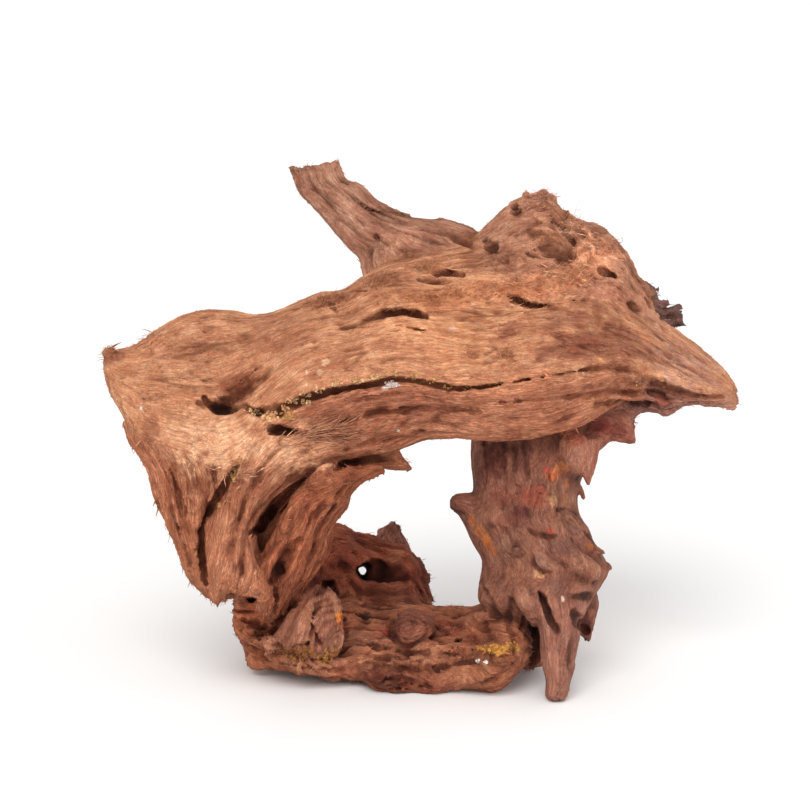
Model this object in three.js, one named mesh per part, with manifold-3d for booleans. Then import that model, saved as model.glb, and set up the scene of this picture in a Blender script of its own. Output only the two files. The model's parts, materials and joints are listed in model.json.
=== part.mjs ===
// Cave ornament of root wood for a pond or aquarium.
//
// A knot of old roots and slabs that lean on each other and leave an arch to
// swim through. Every root, slab, lamina, stub and loose strip is a solid of
// its own. The pieces meet along the laps and shakes of the wood.
//
// Millimetres, +Z up, +Y to the back. The origin is the middle of the bounding
// box on the standing plane.
import * as THREE from 'three';
import { mergeVertices } from 'three/addons/utils/BufferGeometryUtils.js';
import Module from 'manifold-3d';

// ---------------------------------------------------------------- dimensions
const LEAN = THREE.MathUtils.degToRad(12); // the sections of every limb lean back by this much
const JOINT_GAP = 0.35; // clearance left where one piece of wood laps another
const STANDING_PLANE = 0; // height of the worn flats the ornament rests on
const WAVE_SHARE = 0.08; // how far a limb's skin waves in and out, as a share of its half thickness
const WAVE_LENGTH = 31; // distance between two of those waves
const POCKET = { radius: 7.2, depth: 26 }; // rotted pocket in the rear root
const SHAKE = { radius: 3.1, depth: 60 }; // small hole right through the rear root

const DEPTH = new THREE.Vector3(0, Math.cos(LEAN), -Math.sin(LEAN)); // front to back across a section

// ------------------------------------------------------------------- stations
// A limb is carried through its stations. Each one gives the section's two rim
// points and how far the section bulges to the front and to the back of them:
//   [rim A x, y, z,  rim B x, y, z,  front bulge, back bulge]
// square: how boxy the section is across the rims and through its depth
// (1 is an ellipse, less is squarer).
const LIMBS = {
  // the broad slab that roofs the cave, from its torn left corner to the beak
  crown_slab: { wood: 'crown', sides: 22, rings: 44, square: [0.85, 0.8], stations: [
    [-187.1, -36.4, 199.5, -186.3, -39.8, 193, 3, 3],
    [-184.4, -34.3, 199.7, -182.9, -46.5, 180.6, 8, 9],
    [-175.5, -30.4, 198.9, -177.7, -54.1, 169.2, 12, 13],
    [-165.4, -25.6, 202.2, -166.7, -61.6, 157.7, 14, 15],
    [-153.4, -19.7, 210.7, -151.2, -67.7, 148.5, 16, 17],
    [-140.7, -14.4, 216.4, -134.3, -71.9, 142.9, 17, 19],
    [-129.2, -9.8, 218.6, -120.4, -73.7, 139.2, 18, 20],
    [-115.7, -7.9, 218.2, -106.6, -73.2, 141.5, 19, 22],
    [-101.6, -6.3, 216.2, -94, -68.9, 152.3, 19, 23],
    [-87.4, -4.2, 216.4, -82.5, -66.1, 165.3, 19, 24],
    [-73.2, 1.2, 222.1, -71, -64.5, 173.1, 20, 24],
    [-60.2, 6.2, 226.7, -58.3, -63.5, 177.6, 20, 26],
    [-46.5, 10.7, 228.4, -45.1, -62.8, 181, 20, 28],
    [-32.8, 18.4, 235.7, -30.7, -62.3, 183.3, 20, 30],
    [-16.5, 23.8, 242.2, -16.3, -62.1, 184.4, 20, 30],
    [-1.4, 28.5, 245.2, -1.9, -62.3, 183.3, 20, 30],
    [13.8, 33.3, 248.1, 12.6, -60.8, 180.6, 20, 30],
    [29.1, 35.7, 250.2, 27, -59.1, 179.1, 20, 30],
    [47.3, 33.3, 248.1, 44.4, -56.9, 179.8, 20, 30],
    [65.4, 31, 247.2, 61.9, -54.2, 182.8, 20, 30],
    [83.5, 28.3, 244, 79.4, -52, 183.5, 20, 30],
    [101.4, 23.1, 238.7, 96.9, -49.6, 185.4, 19, 28],
    [116.2, 17.4, 231, 111.8, -45.4, 185.8, 17, 26],
    [128.5, 11.1, 221.1, 124.4, -41.7, 183.8, 15, 22],
    [141.3, 5, 211.2, 135.9, -38.8, 178.5, 13, 18],
    [152.3, -0.4, 205.4, 148, -35.6, 174.2, 11, 14],
    [165.6, -6.4, 196.2, 160, -34.1, 171.5, 9, 12],
    [176.6, -10.5, 186.7, 170.9, -32.4, 170, 7, 9],
    [184.1, -14.4, 177.7, 179.4, -30.6, 169, 5, 6],
    [186.6, -19.7, 172.1, 184.9, -28.8, 168, 2, 2],
  ] },
  // the root that sweeps under the slab's long shake and turns down the flank
  front_band: { wood: 'band', sides: 16, rings: 52, square: [0.85, 0.75], stations: [
    [131.2, -43.7, 184.2, 132, -43.2, 177, 1.5, 2],
    [126.6, -43, 187.7, 127.3, -44.2, 172.4, 5, 7],
    [120.7, -42.3, 191.1, 122.1, -44.4, 171.3, 8, 12],
    [110.1, -44, 192.6, 111.4, -47.2, 167.7, 9, 16],
    [97, -47.4, 190.9, 98.4, -50.8, 160.7, 10, 20],
    [82.3, -50.6, 190.4, 82.6, -54.2, 154.3, 11, 24],
    [67.7, -52.8, 189.6, 68, -56, 150.5, 12, 28],
    [50.2, -55, 188.9, 51.6, -57.2, 149.6, 12, 28],
    [32.8, -57.2, 188.1, 33, -58.1, 150.4, 12, 26],
    [15.5, -58.9, 189.6, 15.6, -58.8, 151.8, 12, 24],
    [-1.8, -58.4, 191.9, 1.1, -60, 150.9, 12, 22],
    [-16.3, -59.4, 192.1, -12.2, -62.1, 146, 12, 22],
    [-30.7, -60.9, 190, -23.8, -63.6, 143.4, 12, 20],
    [-45.1, -61.6, 186.7, -37.1, -65.2, 140.8, 12, 20],
    [-60.6, -62.6, 182.2, -51.5, -66.7, 138.7, 12, 19],
    [-76.7, -63.8, 176.5, -67.7, -69.1, 132.2, 12, 18],
    [-91.7, -65.4, 168.6, -79.8, -70.6, 124.8, 12, 17],
    [-102.1, -67.8, 157.4, -89.1, -72.4, 116.4, 12, 16],
    [-107.8, -70.5, 145, -94.9, -73.5, 106.5, 12, 15],
    [-112.5, -72.6, 130.1, -96.7, -75, 94.9, 12, 14],
    [-117.2, -75.2, 112.9, -95, -76.2, 84.5, 12, 14],
    [-120.8, -76.6, 96.6, -92.2, -77.6, 72.9, 12, 13],
    [-123.3, -77.6, 82.5, -94, -78.3, 64.7, 11, 12],
    [-123.9, -79, 70.9, -100.4, -78.1, 61, 8, 9],
    [-122.3, -79.5, 63.8, -110.3, -78.3, 59.9, 4, 5],
    [-119.5, -79.5, 59, -116.6, -79.6, 58.5, 1, 1],
  ] },
  // lamina between the long hollow and the arch
  inner_flank: { wood: 'band', sides: 18, rings: 30, square: [1, 1], stations: [
    [-21.4, -72, 137.6, -20.9, -72.7, 134.3, 1.5, 1.5],
    [-28.3, -72.5, 140.1, -28.4, -71.4, 131, 5, 6],
    [-37.6, -72.9, 138.4, -36.5, -70.2, 127.1, 9, 10],
    [-46.8, -73.5, 135.6, -42.3, -69.7, 119.8, 12, 12],
    [-54.9, -73.5, 130.9, -43, -66.9, 113.8, 13, 14],
    [-63, -73.6, 125.6, -50, -65, 103.1, 14, 16],
    [-71.1, -73.5, 120.8, -51.9, -62.4, 96.4, 15, 18],
    [-78.6, -74, 113.8, -54.4, -60.1, 87.9, 16, 20],
    [-85, -75, 104.5, -56.8, -57.8, 79.4, 16, 22],
    [-90.3, -76.2, 94.1, -60.5, -55.4, 71.4, 16, 22],
    [-93.2, -77.4, 83.6, -65.3, -55, 64, 16, 22],
    [-94.5, -77.4, 74, -71.2, -54.5, 56.5, 15, 22],
    [-96.2, -69.7, 62.2, -76.2, -50.2, 47.9, 14, 22],
    [-98, -61.7, 51.3, -81.2, -46.2, 38, 12, 18],
    [-97.2, -57.4, 42.7, -87.3, -45.5, 31.6, 4, 6],
  ] },
  // outermost lamina of the hanging flank
  outer_wing: { wood: 'band', sides: 16, rings: 22, square: [1, 0.9], stations: [
    [-175.5, -48.9, 159.7, -109.5, -61, 151.1, 3, 4],
    [-173.9, -53.9, 155.4, -103.5, -66.3, 145.2, 9, 11],
    [-170.6, -59.1, 150.1, -105.5, -71.5, 139.9, 12, 13],
    [-165.6, -63.2, 145.6, -105.8, -69.2, 131.6, 12, 13],
    [-159.3, -65.3, 135.5, -108.5, -65.8, 118.9, 12, 13],
    [-156.4, -68.2, 121.9, -111.6, -65, 107.9, 11, 13],
    [-153.6, -69.6, 110.3, -114.6, -66.3, 97.4, 11, 12],
    [-148.4, -71.2, 98.1, -117, -67.5, 86.9, 10, 12],
    [-143.3, -72.7, 86.5, -118.2, -69.4, 77.8, 9, 11],
    [-138.7, -74.8, 76.3, -120.4, -72.3, 69, 8, 9],
    [-133.5, -76.6, 67.8, -124.3, -76.3, 64.7, 5, 6],
    [-126.4, -78.7, 63, -124.7, -79, 61.3, 1, 1],
  ] },
  // back wall of the long hollow, ending in a spur over the arch
  arch_spur: { wood: 'band', sides: 10, rings: 24, square: [1, 1], stations: [
    [-104.8, -60.2, 77.7, -90.8, -59.5, 71.4, 2, 3],
    [-107, -58.9, 93.6, -86, -60, 83.6, 4, 9],
    [-102.3, -56.6, 109.3, -78.9, -58.5, 95.4, 5, 11],
    [-94, -54.9, 122.1, -70.7, -57.3, 105.9, 5, 11],
    [-81.1, -53.9, 131.5, -62.5, -56.3, 115.3, 5, 11],
    [-67.1, -53.5, 138, -54.3, -56, 121.8, 6, 11],
    [-52.4, -54.8, 141.9, -45.5, -55.7, 127.8, 6, 11],
    [-39.6, -56.5, 143.5, -36.1, -56.9, 131.6, 6, 10],
    [-26.2, -58.4, 143.9, -25, -58.6, 133.3, 5, 8],
    [-16.3, -58.8, 142.2, -16.9, -58.8, 132.7, 3.5, 5],
    [-11.7, -59.6, 138.3, -11.7, -59.7, 132.9, 2, 2.5],
    [-7.6, -59.6, 133.5, -7.6, -59.8, 132.4, 0.5, 0.5],
  ] },
  // trunk that carries the slab on the right
  right_column: { wood: 'column', sides: 24, rings: 28, square: [1, 1], stations: [
    [43.9, -4.2, 197, 96.6, -1.5, 200.1, 6, 8],
    [36.6, -8.4, 186.9, 101.3, -5.4, 191.2, 18, 22],
    [33.1, -11.9, 170.5, 104.7, -11.1, 174, 24, 28],
    [28.3, -15.8, 151.8, 105.9, -15.1, 155.3, 28, 30],
    [28.3, -19.1, 136.7, 102.9, -18.8, 137.8, 30, 32],
    [28.9, -21.8, 123.8, 98.1, -21.5, 125, 31, 33],
    [29.5, -24, 113.3, 93.9, -23.7, 115.1, 31, 33],
    [28.3, -26.7, 105.4, 92.1, -26.5, 106.6, 31, 33],
    [24.1, -29.4, 97.5, 93.8, -29.2, 98.6, 31, 33],
    [26.4, -33.2, 89.2, 99, -32.9, 91, 31, 33],
    [31.1, -37, 81, 103, -36.9, 81.6, 31, 34],
    [34.6, -39.7, 73.2, 107.1, -39.2, 75.5, 31, 34],
    [34, -42.3, 65.9, 110.6, -41.9, 67.6, 30, 31],
    [32.2, -45, 58, 107.5, -44.5, 60.4, 28, 27],
    [32.2, -47.7, 50.2, 100.4, -47.2, 52.5, 24, 21],
    [39.9, -49.3, 42.7, 90.3, -48.8, 45, 16, 14],
    [45.8, -50.7, 35.7, 80.2, -50.4, 37.4, 6, 8],
  ] },
  // bar of root along the ground
  base_root: { wood: 'base', sides: 24, rings: 36, square: [0.95, 0.95], stations: [
    [-114.8, -15.1, 39.9, -115.9, -19.5, 28.6, 4, 5],
    [-111.3, -12, 44.7, -108.8, -28.7, 14.5, 13, 16],
    [-103.6, -7.7, 46, -103.1, -35, 3.9, 20, 24],
    [-91.6, -5.9, 44.8, -90.3, -39.2, 3.4, 24, 28],
    [-77.8, -0.6, 40.7, -76.9, -43.2, 4.1, 26, 32],
    [-62.7, 5.2, 39, -61.2, -47.6, 2.4, 27, 33],
    [-47.5, 9, 37.9, -46.2, -51.9, 1.3, 27, 32],
    [-32.1, 10.8, 36.7, -31.3, -54.8, 2.3, 27, 32],
    [-16.7, 8.5, 35.5, -16.4, -58.1, 0.9, 27, 32],
    [-1.3, 2.1, 34.2, -1.6, -60.2, 1, 27, 32],
    [13.9, -8, 34.7, 13.1, -62.1, 1.6, 27, 31],
    [28.8, -21.6, 38.1, 27.9, -64.2, 1.1, 27, 30],
    [40.3, -36.5, 45, 40.8, -65.6, -0.3, 26, 28],
    [50.9, -40.6, 45, 51.4, -65.5, 4.6, 22, 24],
    [59, -45.4, 41.5, 57.9, -64.2, 10.9, 16, 18],
    [63.6, -51.2, 33.4, 63.3, -62, 16.4, 8, 9],
    [65.3, -54.6, 27, 65.1, -58.5, 23.3, 1.5, 1.5],
  ] },
  // burl on the roof
  crown_burl: { wood: 'crown', sides: 18, rings: 20, square: [1, 1], stations: [
    [29.1, 37.7, 249.9, 30.2, 32.2, 243.4, 5, 6],
    [34.1, 40.9, 255, 36, 20.8, 237.8, 12, 14],
    [43.9, 45.1, 265.5, 44.1, 9.4, 232.3, 16, 20],
    [52.5, 49, 274.2, 53.4, 0.3, 227.7, 20, 24],
    [63.6, 50, 279, 63.9, -4.4, 224.9, 22, 26],
    [77.6, 50, 279, 75.7, -7.1, 221.7, 22, 28],
    [86.7, 46.1, 270.3, 87.4, -9.6, 219.7, 22, 28],
    [100, 42.9, 264.6, 99.2, -12.3, 216.6, 22, 28],
    [113.7, 37.8, 259.7, 108.7, -13, 213.1, 20, 26],
    [124.3, 31.4, 249, 117.1, -11.8, 209.3, 18, 22],
    [131.8, 24.5, 236, 124.6, -8.6, 205.1, 14, 18],
    [137.5, 18.1, 224.8, 130.5, -2.5, 205.2, 8, 10],
    [135.9, 11.4, 212.5, 134.9, 6.4, 208.5, 2, 2],
  ] },
  // forked branch stump behind the roof
  back_branch: { wood: 'crown', sides: 16, rings: 24, square: [1, 1], stations: [
    [-64.8, 83.5, 292.3, -69.7, 82.3, 291.2, 2, 2],
    [-52.3, 84.6, 297.2, -81.5, 81.4, 291.9, 5, 6],
    [-49.8, 83.5, 292.3, -80.8, 78.5, 287.9, 9, 10],
    [-46, 81, 285.1, -77, 74.4, 278.4, 11, 12],
    [-37.9, 78.2, 281.7, -69.5, 70.6, 270.1, 13, 14],
    [-30.4, 74.9, 275.8, -61.3, 67, 262.5, 14, 15],
    [-22.3, 71.9, 271.2, -53.8, 62.2, 254.4, 15, 16],
    [-13.6, 68, 267.4, -45.7, 57.4, 246.4, 17, 18],
    [-1.2, 63.3, 264.3, -38.2, 52.1, 240.4, 18, 20],
    [15.4, 58.9, 263, -36.9, 44.3, 232.9, 20, 22],
    [31.3, 53.9, 258.7, -31.9, 36.1, 223, 20, 22],
    [36.7, 48.4, 252.1, -16.6, 26.3, 215.4, 16, 18],
    [38.4, 40.5, 244, 4.7, 25, 218.7, 7, 7],
  ] },
  // twisted stub at the back of the roof
  rear_stub: { wood: 'dark', sides: 12, rings: 12, square: [1, 1], stations: [
    [124.7, 25.3, 229.7, 120.9, 19.5, 212.3, 5, 5],
    [134.6, 33.4, 229.6, 128.9, 26.6, 207.3, 9, 9],
    [142.1, 39.9, 221.8, 136.4, 33.5, 201.2, 10, 10],
    [145.8, 44.3, 213.6, 143.1, 39, 198.3, 9, 10],
    [151, 46.8, 210.7, 149.5, 41, 197.9, 8, 9],
    [156.7, 47.5, 209.3, 155.2, 43.1, 198.2, 7, 8],
    [161, 46.9, 206.3, 159, 44.6, 200.4, 3, 3],
  ] },
  // dark layer under the beak
  beak_under: { wood: 'dark', sides: 12, rings: 20, square: [1, 0.9], stations: [
    [102.1, -28.8, 177.6, 102.3, -30, 162.2, 5, 8],
    [107.8, -31.2, 180.5, 108.1, -31.2, 161.3, 8, 16],
    [114.9, -30, 181.5, 115.1, -31.5, 164.9, 9, 20],
    [122, -30, 181.5, 123.3, -32.4, 160.3, 9, 20],
    [130.9, -29, 181.3, 131.7, -30.8, 163, 9, 20],
    [136.8, -29.2, 180.1, 138.3, -30.1, 161.6, 9, 20],
    [142.2, -28.8, 177.6, 143, -30.6, 159.3, 8, 18],
    [149.3, -29.2, 175.3, 149.5, -29.9, 162.8, 7, 16],
    [157.6, -28.5, 174, 157.9, -28.3, 165.5, 6, 13],
    [167.2, -27.8, 172.6, 167.5, -27.4, 164.7, 5, 10],
    [175.6, -27, 171.2, 175.7, -27.8, 162.9, 4, 8],
    [182.2, -26.3, 169.9, 182.8, -28, 161.8, 3, 5],
    [185.8, -26.7, 168.1, 186.4, -27.8, 162.9, 1, 1],
  ] },
  // round knob on the trunk, on the arch side
  column_knob: { wood: 'column', sides: 12, rings: 10, square: [1, 1], stations: [
    [41.3, -28.7, 110.8, 42.5, -32.9, 91, 8, 8],
    [31.7, -30.7, 110.7, 32.9, -35, 90.3, 12, 12],
    [25.1, -31.4, 112.1, 25.7, -34.9, 95.8, 10, 10],
    [19.8, -32.5, 111.8, 19.8, -35, 100.1, 8, 8],
    [16.8, -32.9, 110, 16.8, -34.5, 102.5, 5, 5],
    [15.6, -33.4, 107.7, 15.6, -34, 104.8, 1, 1],
  ] },
  // fin of wood at the trunk's shoulder
  column_fin: { wood: 'column', sides: 10, rings: 14, square: [1, 1], stations: [
    [95.5, -24.6, 168.3, 98.3, -25.4, 135.7, 9, 9],
    [104.8, -26.6, 168.7, 106.4, -27, 137.9, 9, 9],
    [113, -28, 166.6, 112.2, -28.2, 141.8, 7, 8],
    [119.5, -28.9, 162.6, 118.6, -29.3, 141.5, 5, 6],
    [123, -29.7, 158.5, 123.9, -30.4, 141.1, 3.5, 4],
    [125.5, -30.5, 150.2, 126.8, -31.2, 141.9, 1, 1],
  ] },
  // splinter hanging from the trunk's shoulder
  column_splinter: { wood: 'column', sides: 10, rings: 10, square: [1, 1], stations: [
    [90.7, -38.3, 147.1, 106.3, -34.2, 147.4, 5, 8],
    [91.2, -41.4, 137.6, 103.9, -37.1, 138.4, 6, 8],
    [92.4, -43.2, 129, 102, -40, 129.4, 5, 6],
    [94.8, -43.4, 123, 100.2, -42.2, 123.9, 3, 3],
    [96.7, -43.3, 118.7, 97.8, -43.3, 118.7, 0.6, 0.6],
  ] },
  // prong the ornament stands on at the front
  front_foot: { wood: 'column', sides: 16, rings: 20, square: [1, 1], stations: [
    [61.8, -56.9, 64.5, 98.7, -51.3, 61.7, 8, 12],
    [64.6, -62.7, 56.5, 98.5, -56.2, 53.3, 14, 16],
    [66.7, -68, 45.9, 95.3, -61.3, 43.8, 16, 16],
    [67.8, -72.1, 36.2, 92.8, -65.6, 32.9, 15, 15],
    [67.8, -75, 27.3, 90.4, -69.6, 23.8, 14, 14],
    [68.9, -77.9, 18.5, 88.5, -73.4, 15.8, 13, 13],
    [70.6, -79.6, 10.5, 86, -76.7, 9.6, 12, 12],
    [70.6, -80.9, 4.2, 84.8, -78, 3.8, 11, 11],
    [71.8, -80.7, 0.5, 83.6, -79.6, 0.7, 9, 9],
    [74.2, -81.2, -1.8, 80.7, -80.3, -2.1, 4, 4],
  ] },
  // hooked root beside the prong
  side_hook: { wood: 'column', sides: 10, rings: 14, square: [1, 1], stations: [
    [85.1, -44.4, 56, 88.6, -46.1, 47.9, 6, 8],
    [96, -41.4, 55.8, 91.8, -44.1, 43, 9, 10],
    [103.3, -38.7, 53.7, 92.6, -41.8, 39.2, 9, 10],
    [105.3, -38.3, 46.2, 91.4, -42.3, 36.8, 8, 9],
    [103.5, -39.9, 38.6, 90.8, -42.9, 33.9, 7, 8],
    [101.7, -41.5, 31, 92, -43.8, 29.8, 6, 6],
    [100.5, -42.5, 26.3, 95.1, -43.5, 26.6, 4, 4],
    [99.3, -43.1, 23.4, 98.1, -43.1, 23.4, 1, 1],
  ] },
  // root behind the prong
  rear_strut: { wood: 'column', sides: 12, rings: 12, square: [1, 1], stations: [
    [46.6, -26.1, 55.7, 87.4, -26.1, 55.7, 12, 14],
    [49.1, -25.4, 44.2, 84.6, -25.4, 44.2, 15, 17],
    [51, -25.3, 30.4, 81.2, -25.3, 30.4, 14, 16],
    [53.5, -26.3, 16.2, 78.9, -26.3, 16.2, 14, 16],
    [55.9, -28.4, 6.2, 76.5, -28.1, 7.4, 10, 12],
    [59.6, -29.5, 0.9, 72.9, -29.1, 2.6, 2, 3],
  ] },
  // root that rises behind the arch and stands on the ground at the back
  rear_root: { wood: 'base', sides: 18, rings: 26, square: [1, 1], stations: [
    [-75.4, 19.2, 56.8, -73.1, 15.6, 20.5, 5, 8],
    [-68.2, 26.1, 70.3, -65.9, 19, 7.8, 16, 14],
    [-59.6, 31.3, 75.3, -57.4, 23.2, -1.3, 24, 14],
    [-49.7, 33.1, 74.2, -48.1, 26.1, -6.8, 30, 16],
    [-39.8, 34.2, 70, -38.7, 27.6, -9.3, 34, 18],
    [-29.2, 35.3, 65.2, -27.5, 29.3, -11.1, 36, 18],
    [-18.6, 34.8, 62.8, -16.8, 29.3, -11.1, 36, 18],
    [-8.6, 34.5, 61.6, -7.4, 27.6, -9.3, 34, 18],
    [-1.8, 30.5, 52.3, 0.1, 24.3, -5.6, 28, 16],
    [2.6, 24.3, 42.5, 5.1, 19.6, 1.1, 20, 14],
    [6.2, 15.9, 32, 10, 13.2, 9.6, 11, 8],
    [11.1, 10.6, 25.9, 13.6, 10, 18.4, 2, 2],
  ] },
  // ragged spur on the rear root
  rear_spur: { wood: 'dark', sides: 10, rings: 12, square: [1, 1], stations: [
    [-29.3, 39.4, 46, -6.7, 38.8, 43.5, 5, 5],
    [-30, 47, 53, -4.8, 46.6, 51.1, 8, 7],
    [-29.5, 57.4, 58.6, -8, 57, 56.8, 7, 6],
    [-26.4, 63.5, 63.5, -10.5, 62.9, 60.4, 6, 6],
    [-21.9, 65.3, 67, -12.4, 64.9, 65.1, 4.5, 4.5],
    [-19.4, 66.9, 69.8, -13, 66.8, 69.2, 1, 1],
  ] },
  // curly-grained burl on the base
  base_burl: { wood: 'burl', sides: 16, rings: 16, square: [1, 1], stations: [
    [-65.6, -47.7, 59.4, -56.1, -45.8, 58.9, 2, 3],
    [-72.5, -53.1, 53.6, -52.5, -48.8, 54.2, 8, 12],
    [-78.2, -58.9, 45.6, -49.5, -52.7, 45.5, 11, 16],
    [-85.1, -63.7, 37.2, -47.1, -58, 35.4, 12, 18],
    [-91.6, -65.5, 28.6, -48.2, -60.9, 26.5, 11, 16],
    [-93, -63.2, 20.5, -53.6, -59.7, 17.5, 8, 12],
    [-85.5, -61.3, 14.9, -63.2, -57.8, 12, 2, 3],
  ] },
  // sawn stub on the base
  cut_stub: { wood: 'burl', sides: 12, rings: 10, square: [1, 1], stations: [
    [-17.6, -44.4, 36.8, -16.5, -46, 29.3, 2, 4],
    [-15.3, -45.3, 42.1, -12.9, -54.8, 26.4, 8, 14],
    [-8.7, -45.9, 44.1, -7.5, -57.2, 24.7, 10, 18],
    [-1.6, -45.1, 43.2, -0.4, -54.6, 27, 10, 18],
    [3.8, -43.7, 39.8, 4.9, -50.2, 28.7, 7, 12],
    [8, -41.9, 34.2, 8.6, -43.8, 29.8, 1.5, 2],
  ] },
  // loose strip of bark under the base
  bark_sole: { wood: 'dark', sides: 12, rings: 16, square: [1, 1], stations: [
    [-38.2, -62.4, 9.7, -38.3, -61.5, 4.5, 1.5, 2],
    [-33.5, -65.9, 12.7, -33.6, -62, 2.2, 5, 8],
    [-25.2, -67.6, 13.9, -25.3, -62.5, -0.1, 7, 14],
    [-15.8, -69.4, 15.1, -15.8, -64.9, -1.8, 8, 18],
    [-6.4, -69.7, 14, -6.4, -65.8, -1.5, 8, 18],
    [3, -70.3, 11.1, 3.1, -66.6, -0.6, 7, 16],
    [10.1, -69.8, 8.5, 10.1, -68.3, 1.2, 4, 8],
    [14.8, -69.4, 5.9, 14.8, -68.9, 3.3, 1, 1],
  ] },
};

// The order in which pieces claim their space: a piece is scribed to every
// piece that comes before it.
const ORDER = Object.keys(LIMBS);

// ---------------------------------------------------------------- materials
const wood = (color, roughness) => new THREE.MeshStandardMaterial({ color, roughness, metalness: 0 });
const WOODS = {
  crown: wood(0xb97a50, 0.9),
  band: wood(0xa9693f, 0.9),
  column: wood(0x8a5640, 0.85),
  base: wood(0x91583a, 0.85),
  burl: wood(0x94604a, 0.85),
  dark: wood(0x5f3628, 0.95),
};

// ----------------------------------------------------------------- geometry
const wasm = await Module();
wasm.setup();

// A slow wave over the wood's skin, from -1 to 1.
function wave(p) {
  const k = (2 * Math.PI) / WAVE_LENGTH;
  return (Math.sin(k * p.x + 1.7 * Math.sin(k * 0.6 * p.z)) + Math.sin(k * 1.3 * p.y + 2.1) + Math.sin(k * 0.9 * p.z + 1.3 * Math.sin(k * 0.5 * p.x))) / 3;
}

// A unit sphere whose rings are carried along the stations.
function limbGeometry({ sides, rings, square, stations }) {
  const rimA = new THREE.CatmullRomCurve3(stations.map((s) => new THREE.Vector3(s[0], s[1], s[2])));
  const rimB = new THREE.CatmullRomCurve3(stations.map((s) => new THREE.Vector3(s[3], s[4], s[5])));
  const bulge = new THREE.CatmullRomCurve3(stations.map((s, i) => new THREE.Vector3(s[6], s[7], i * 10)));
  const sphere = new THREE.SphereGeometry(1, sides, rings);
  const position = sphere.getAttribute('position');
  const curved = (x, power) => Math.sign(x) * Math.abs(x) ** power;
  for (let i = 0; i < position.count; i++) {
    const ring = Math.floor(i / (sides + 1));
    const angle = (2 * Math.PI * (i % (sides + 1) % sides)) / sides;
    const t = ring / rings;
    const a = rimA.getPoint(t);
    const b = rimB.getPoint(t);
    const m = bulge.getPoint(t);
    const p = a.clone().add(b).multiplyScalar(0.5);
    if (ring > 0 && ring < rings) {
      const deep = curved(Math.sin(angle), square[1]) * Math.max(0.3, Math.sin(angle) < 0 ? m.x : m.y);
      p.addScaledVector(a.clone().sub(b), 0.5 * curved(Math.cos(angle), square[0]));
      p.addScaledVector(DEPTH, deep * (1 + WAVE_SHARE * wave(p)));
    }
    position.setXYZ(i, p.x, p.y, p.z);
  }
  sphere.deleteAttribute('normal');
  sphere.deleteAttribute('uv');
  return facingOut(mergeVertices(sphere, 1e-3));
}

// Turns the faces round if the shape came out inside out.
function facingOut(geometry) {
  const p = geometry.getAttribute('position');
  const index = geometry.index.array;
  const [a, b, c] = [new THREE.Vector3(), new THREE.Vector3(), new THREE.Vector3()];
  let volume = 0;
  for (let i = 0; i < index.length; i += 3) {
    a.fromBufferAttribute(p, index[i]);
    b.fromBufferAttribute(p, index[i + 1]);
    c.fromBufferAttribute(p, index[i + 2]);
    volume += a.dot(b.cross(c)) / 6;
  }
  if (volume < 0) for (let i = 0; i < index.length; i += 3) [index[i + 1], index[i + 2]] = [index[i + 2], index[i + 1]];
  return geometry;
}

// The same shape with its skin moved out by a distance.
function swollen(geometry, by) {
  const grown = geometry.clone();
  grown.computeVertexNormals();
  const p = grown.getAttribute('position');
  const n = grown.getAttribute('normal');
  for (let i = 0; i < p.count; i++) p.setXYZ(i, p.getX(i) + by * n.getX(i), p.getY(i) + by * n.getY(i), p.getZ(i) + by * n.getZ(i));
  grown.deleteAttribute('normal');
  return grown;
}

function solid(geometry) {
  const closed = mergeVertices(geometry, 1e-3);
  return new wasm.Manifold(
    new wasm.Mesh({ numProp: 3, vertProperties: new Float32Array(closed.getAttribute('position').array), triVerts: new Uint32Array(closed.index.array) }),
  );
}

function geometryOf(manifold) {
  const mesh = manifold.getMesh();
  return new THREE.BufferGeometry()
    .setAttribute('position', new THREE.BufferAttribute(new Float32Array(mesh.vertProperties), 3))
    .setIndex(new THREE.BufferAttribute(new Uint32Array(mesh.triVerts), 1));
}

// Scribing a piece to its neighbours can leave crumbs; the piece is the largest body.
function largest(manifold) {
  return manifold.decompose().sort((a, b) => b.volume() - a.volume())[0];
}

function bar(radius, length, at, direction, sides = 10) {
  const cylinder = new THREE.CylinderGeometry(radius, radius, length, sides);
  cylinder.deleteAttribute('normal');
  cylinder.deleteAttribute('uv');
  cylinder.applyQuaternion(new THREE.Quaternion().setFromUnitVectors(new THREE.Vector3(0, 1, 0), direction));
  cylinder.translate(at.x, at.y, at.z);
  return solid(cylinder);
}

// ----------------------------------------------------------------- the model
const ground = new THREE.BoxGeometry(900, 900, 200);
ground.deleteAttribute('normal');
ground.deleteAttribute('uv');
ground.translate(0, 0, STANDING_PLANE - 100);
const groundSolid = solid(ground);

// Rotted-out openings, each by the piece that it is in.
const HOLES = {
  rear_root: [
    bar(SHAKE.radius, SHAKE.depth, new THREE.Vector3(-36.1, 31.3, 46.3), DEPTH, 8),
    bar(POCKET.radius, POCKET.depth, new THREE.Vector3(-25.9, 15.6, 49.5), DEPTH),
    bar(POCKET.radius, POCKET.depth, new THREE.Vector3(-19.1, 15.6, 49.5), DEPTH),
  ],
};

const ornament = new THREE.Group();
ornament.name = 'root_wood_cave';
const claimed = [];
for (const name of ORDER) {
  const geometry = limbGeometry(LIMBS[name]);
  let piece = solid(geometry);
  for (const other of claimed) piece = piece.subtract(other);
  for (const hole of HOLES[name] ?? []) piece = piece.subtract(hole);
  piece = largest(piece.subtract(groundSolid));
  claimed.push(solid(swollen(geometry, JOINT_GAP)));
  const mesh = new THREE.Mesh(geometryOf(piece), WOODS[LIMBS[name].wood]);
  mesh.name = name;
  ornament.add(mesh);
}

// Set the middle of the bounding box over the origin.
const centre = new THREE.Box3().setFromObject(ornament).getCenter(new THREE.Vector3());
for (const mesh of ornament.children) mesh.geometry.translate(-centre.x, -centre.y, 0);

export default ornament;
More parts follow.
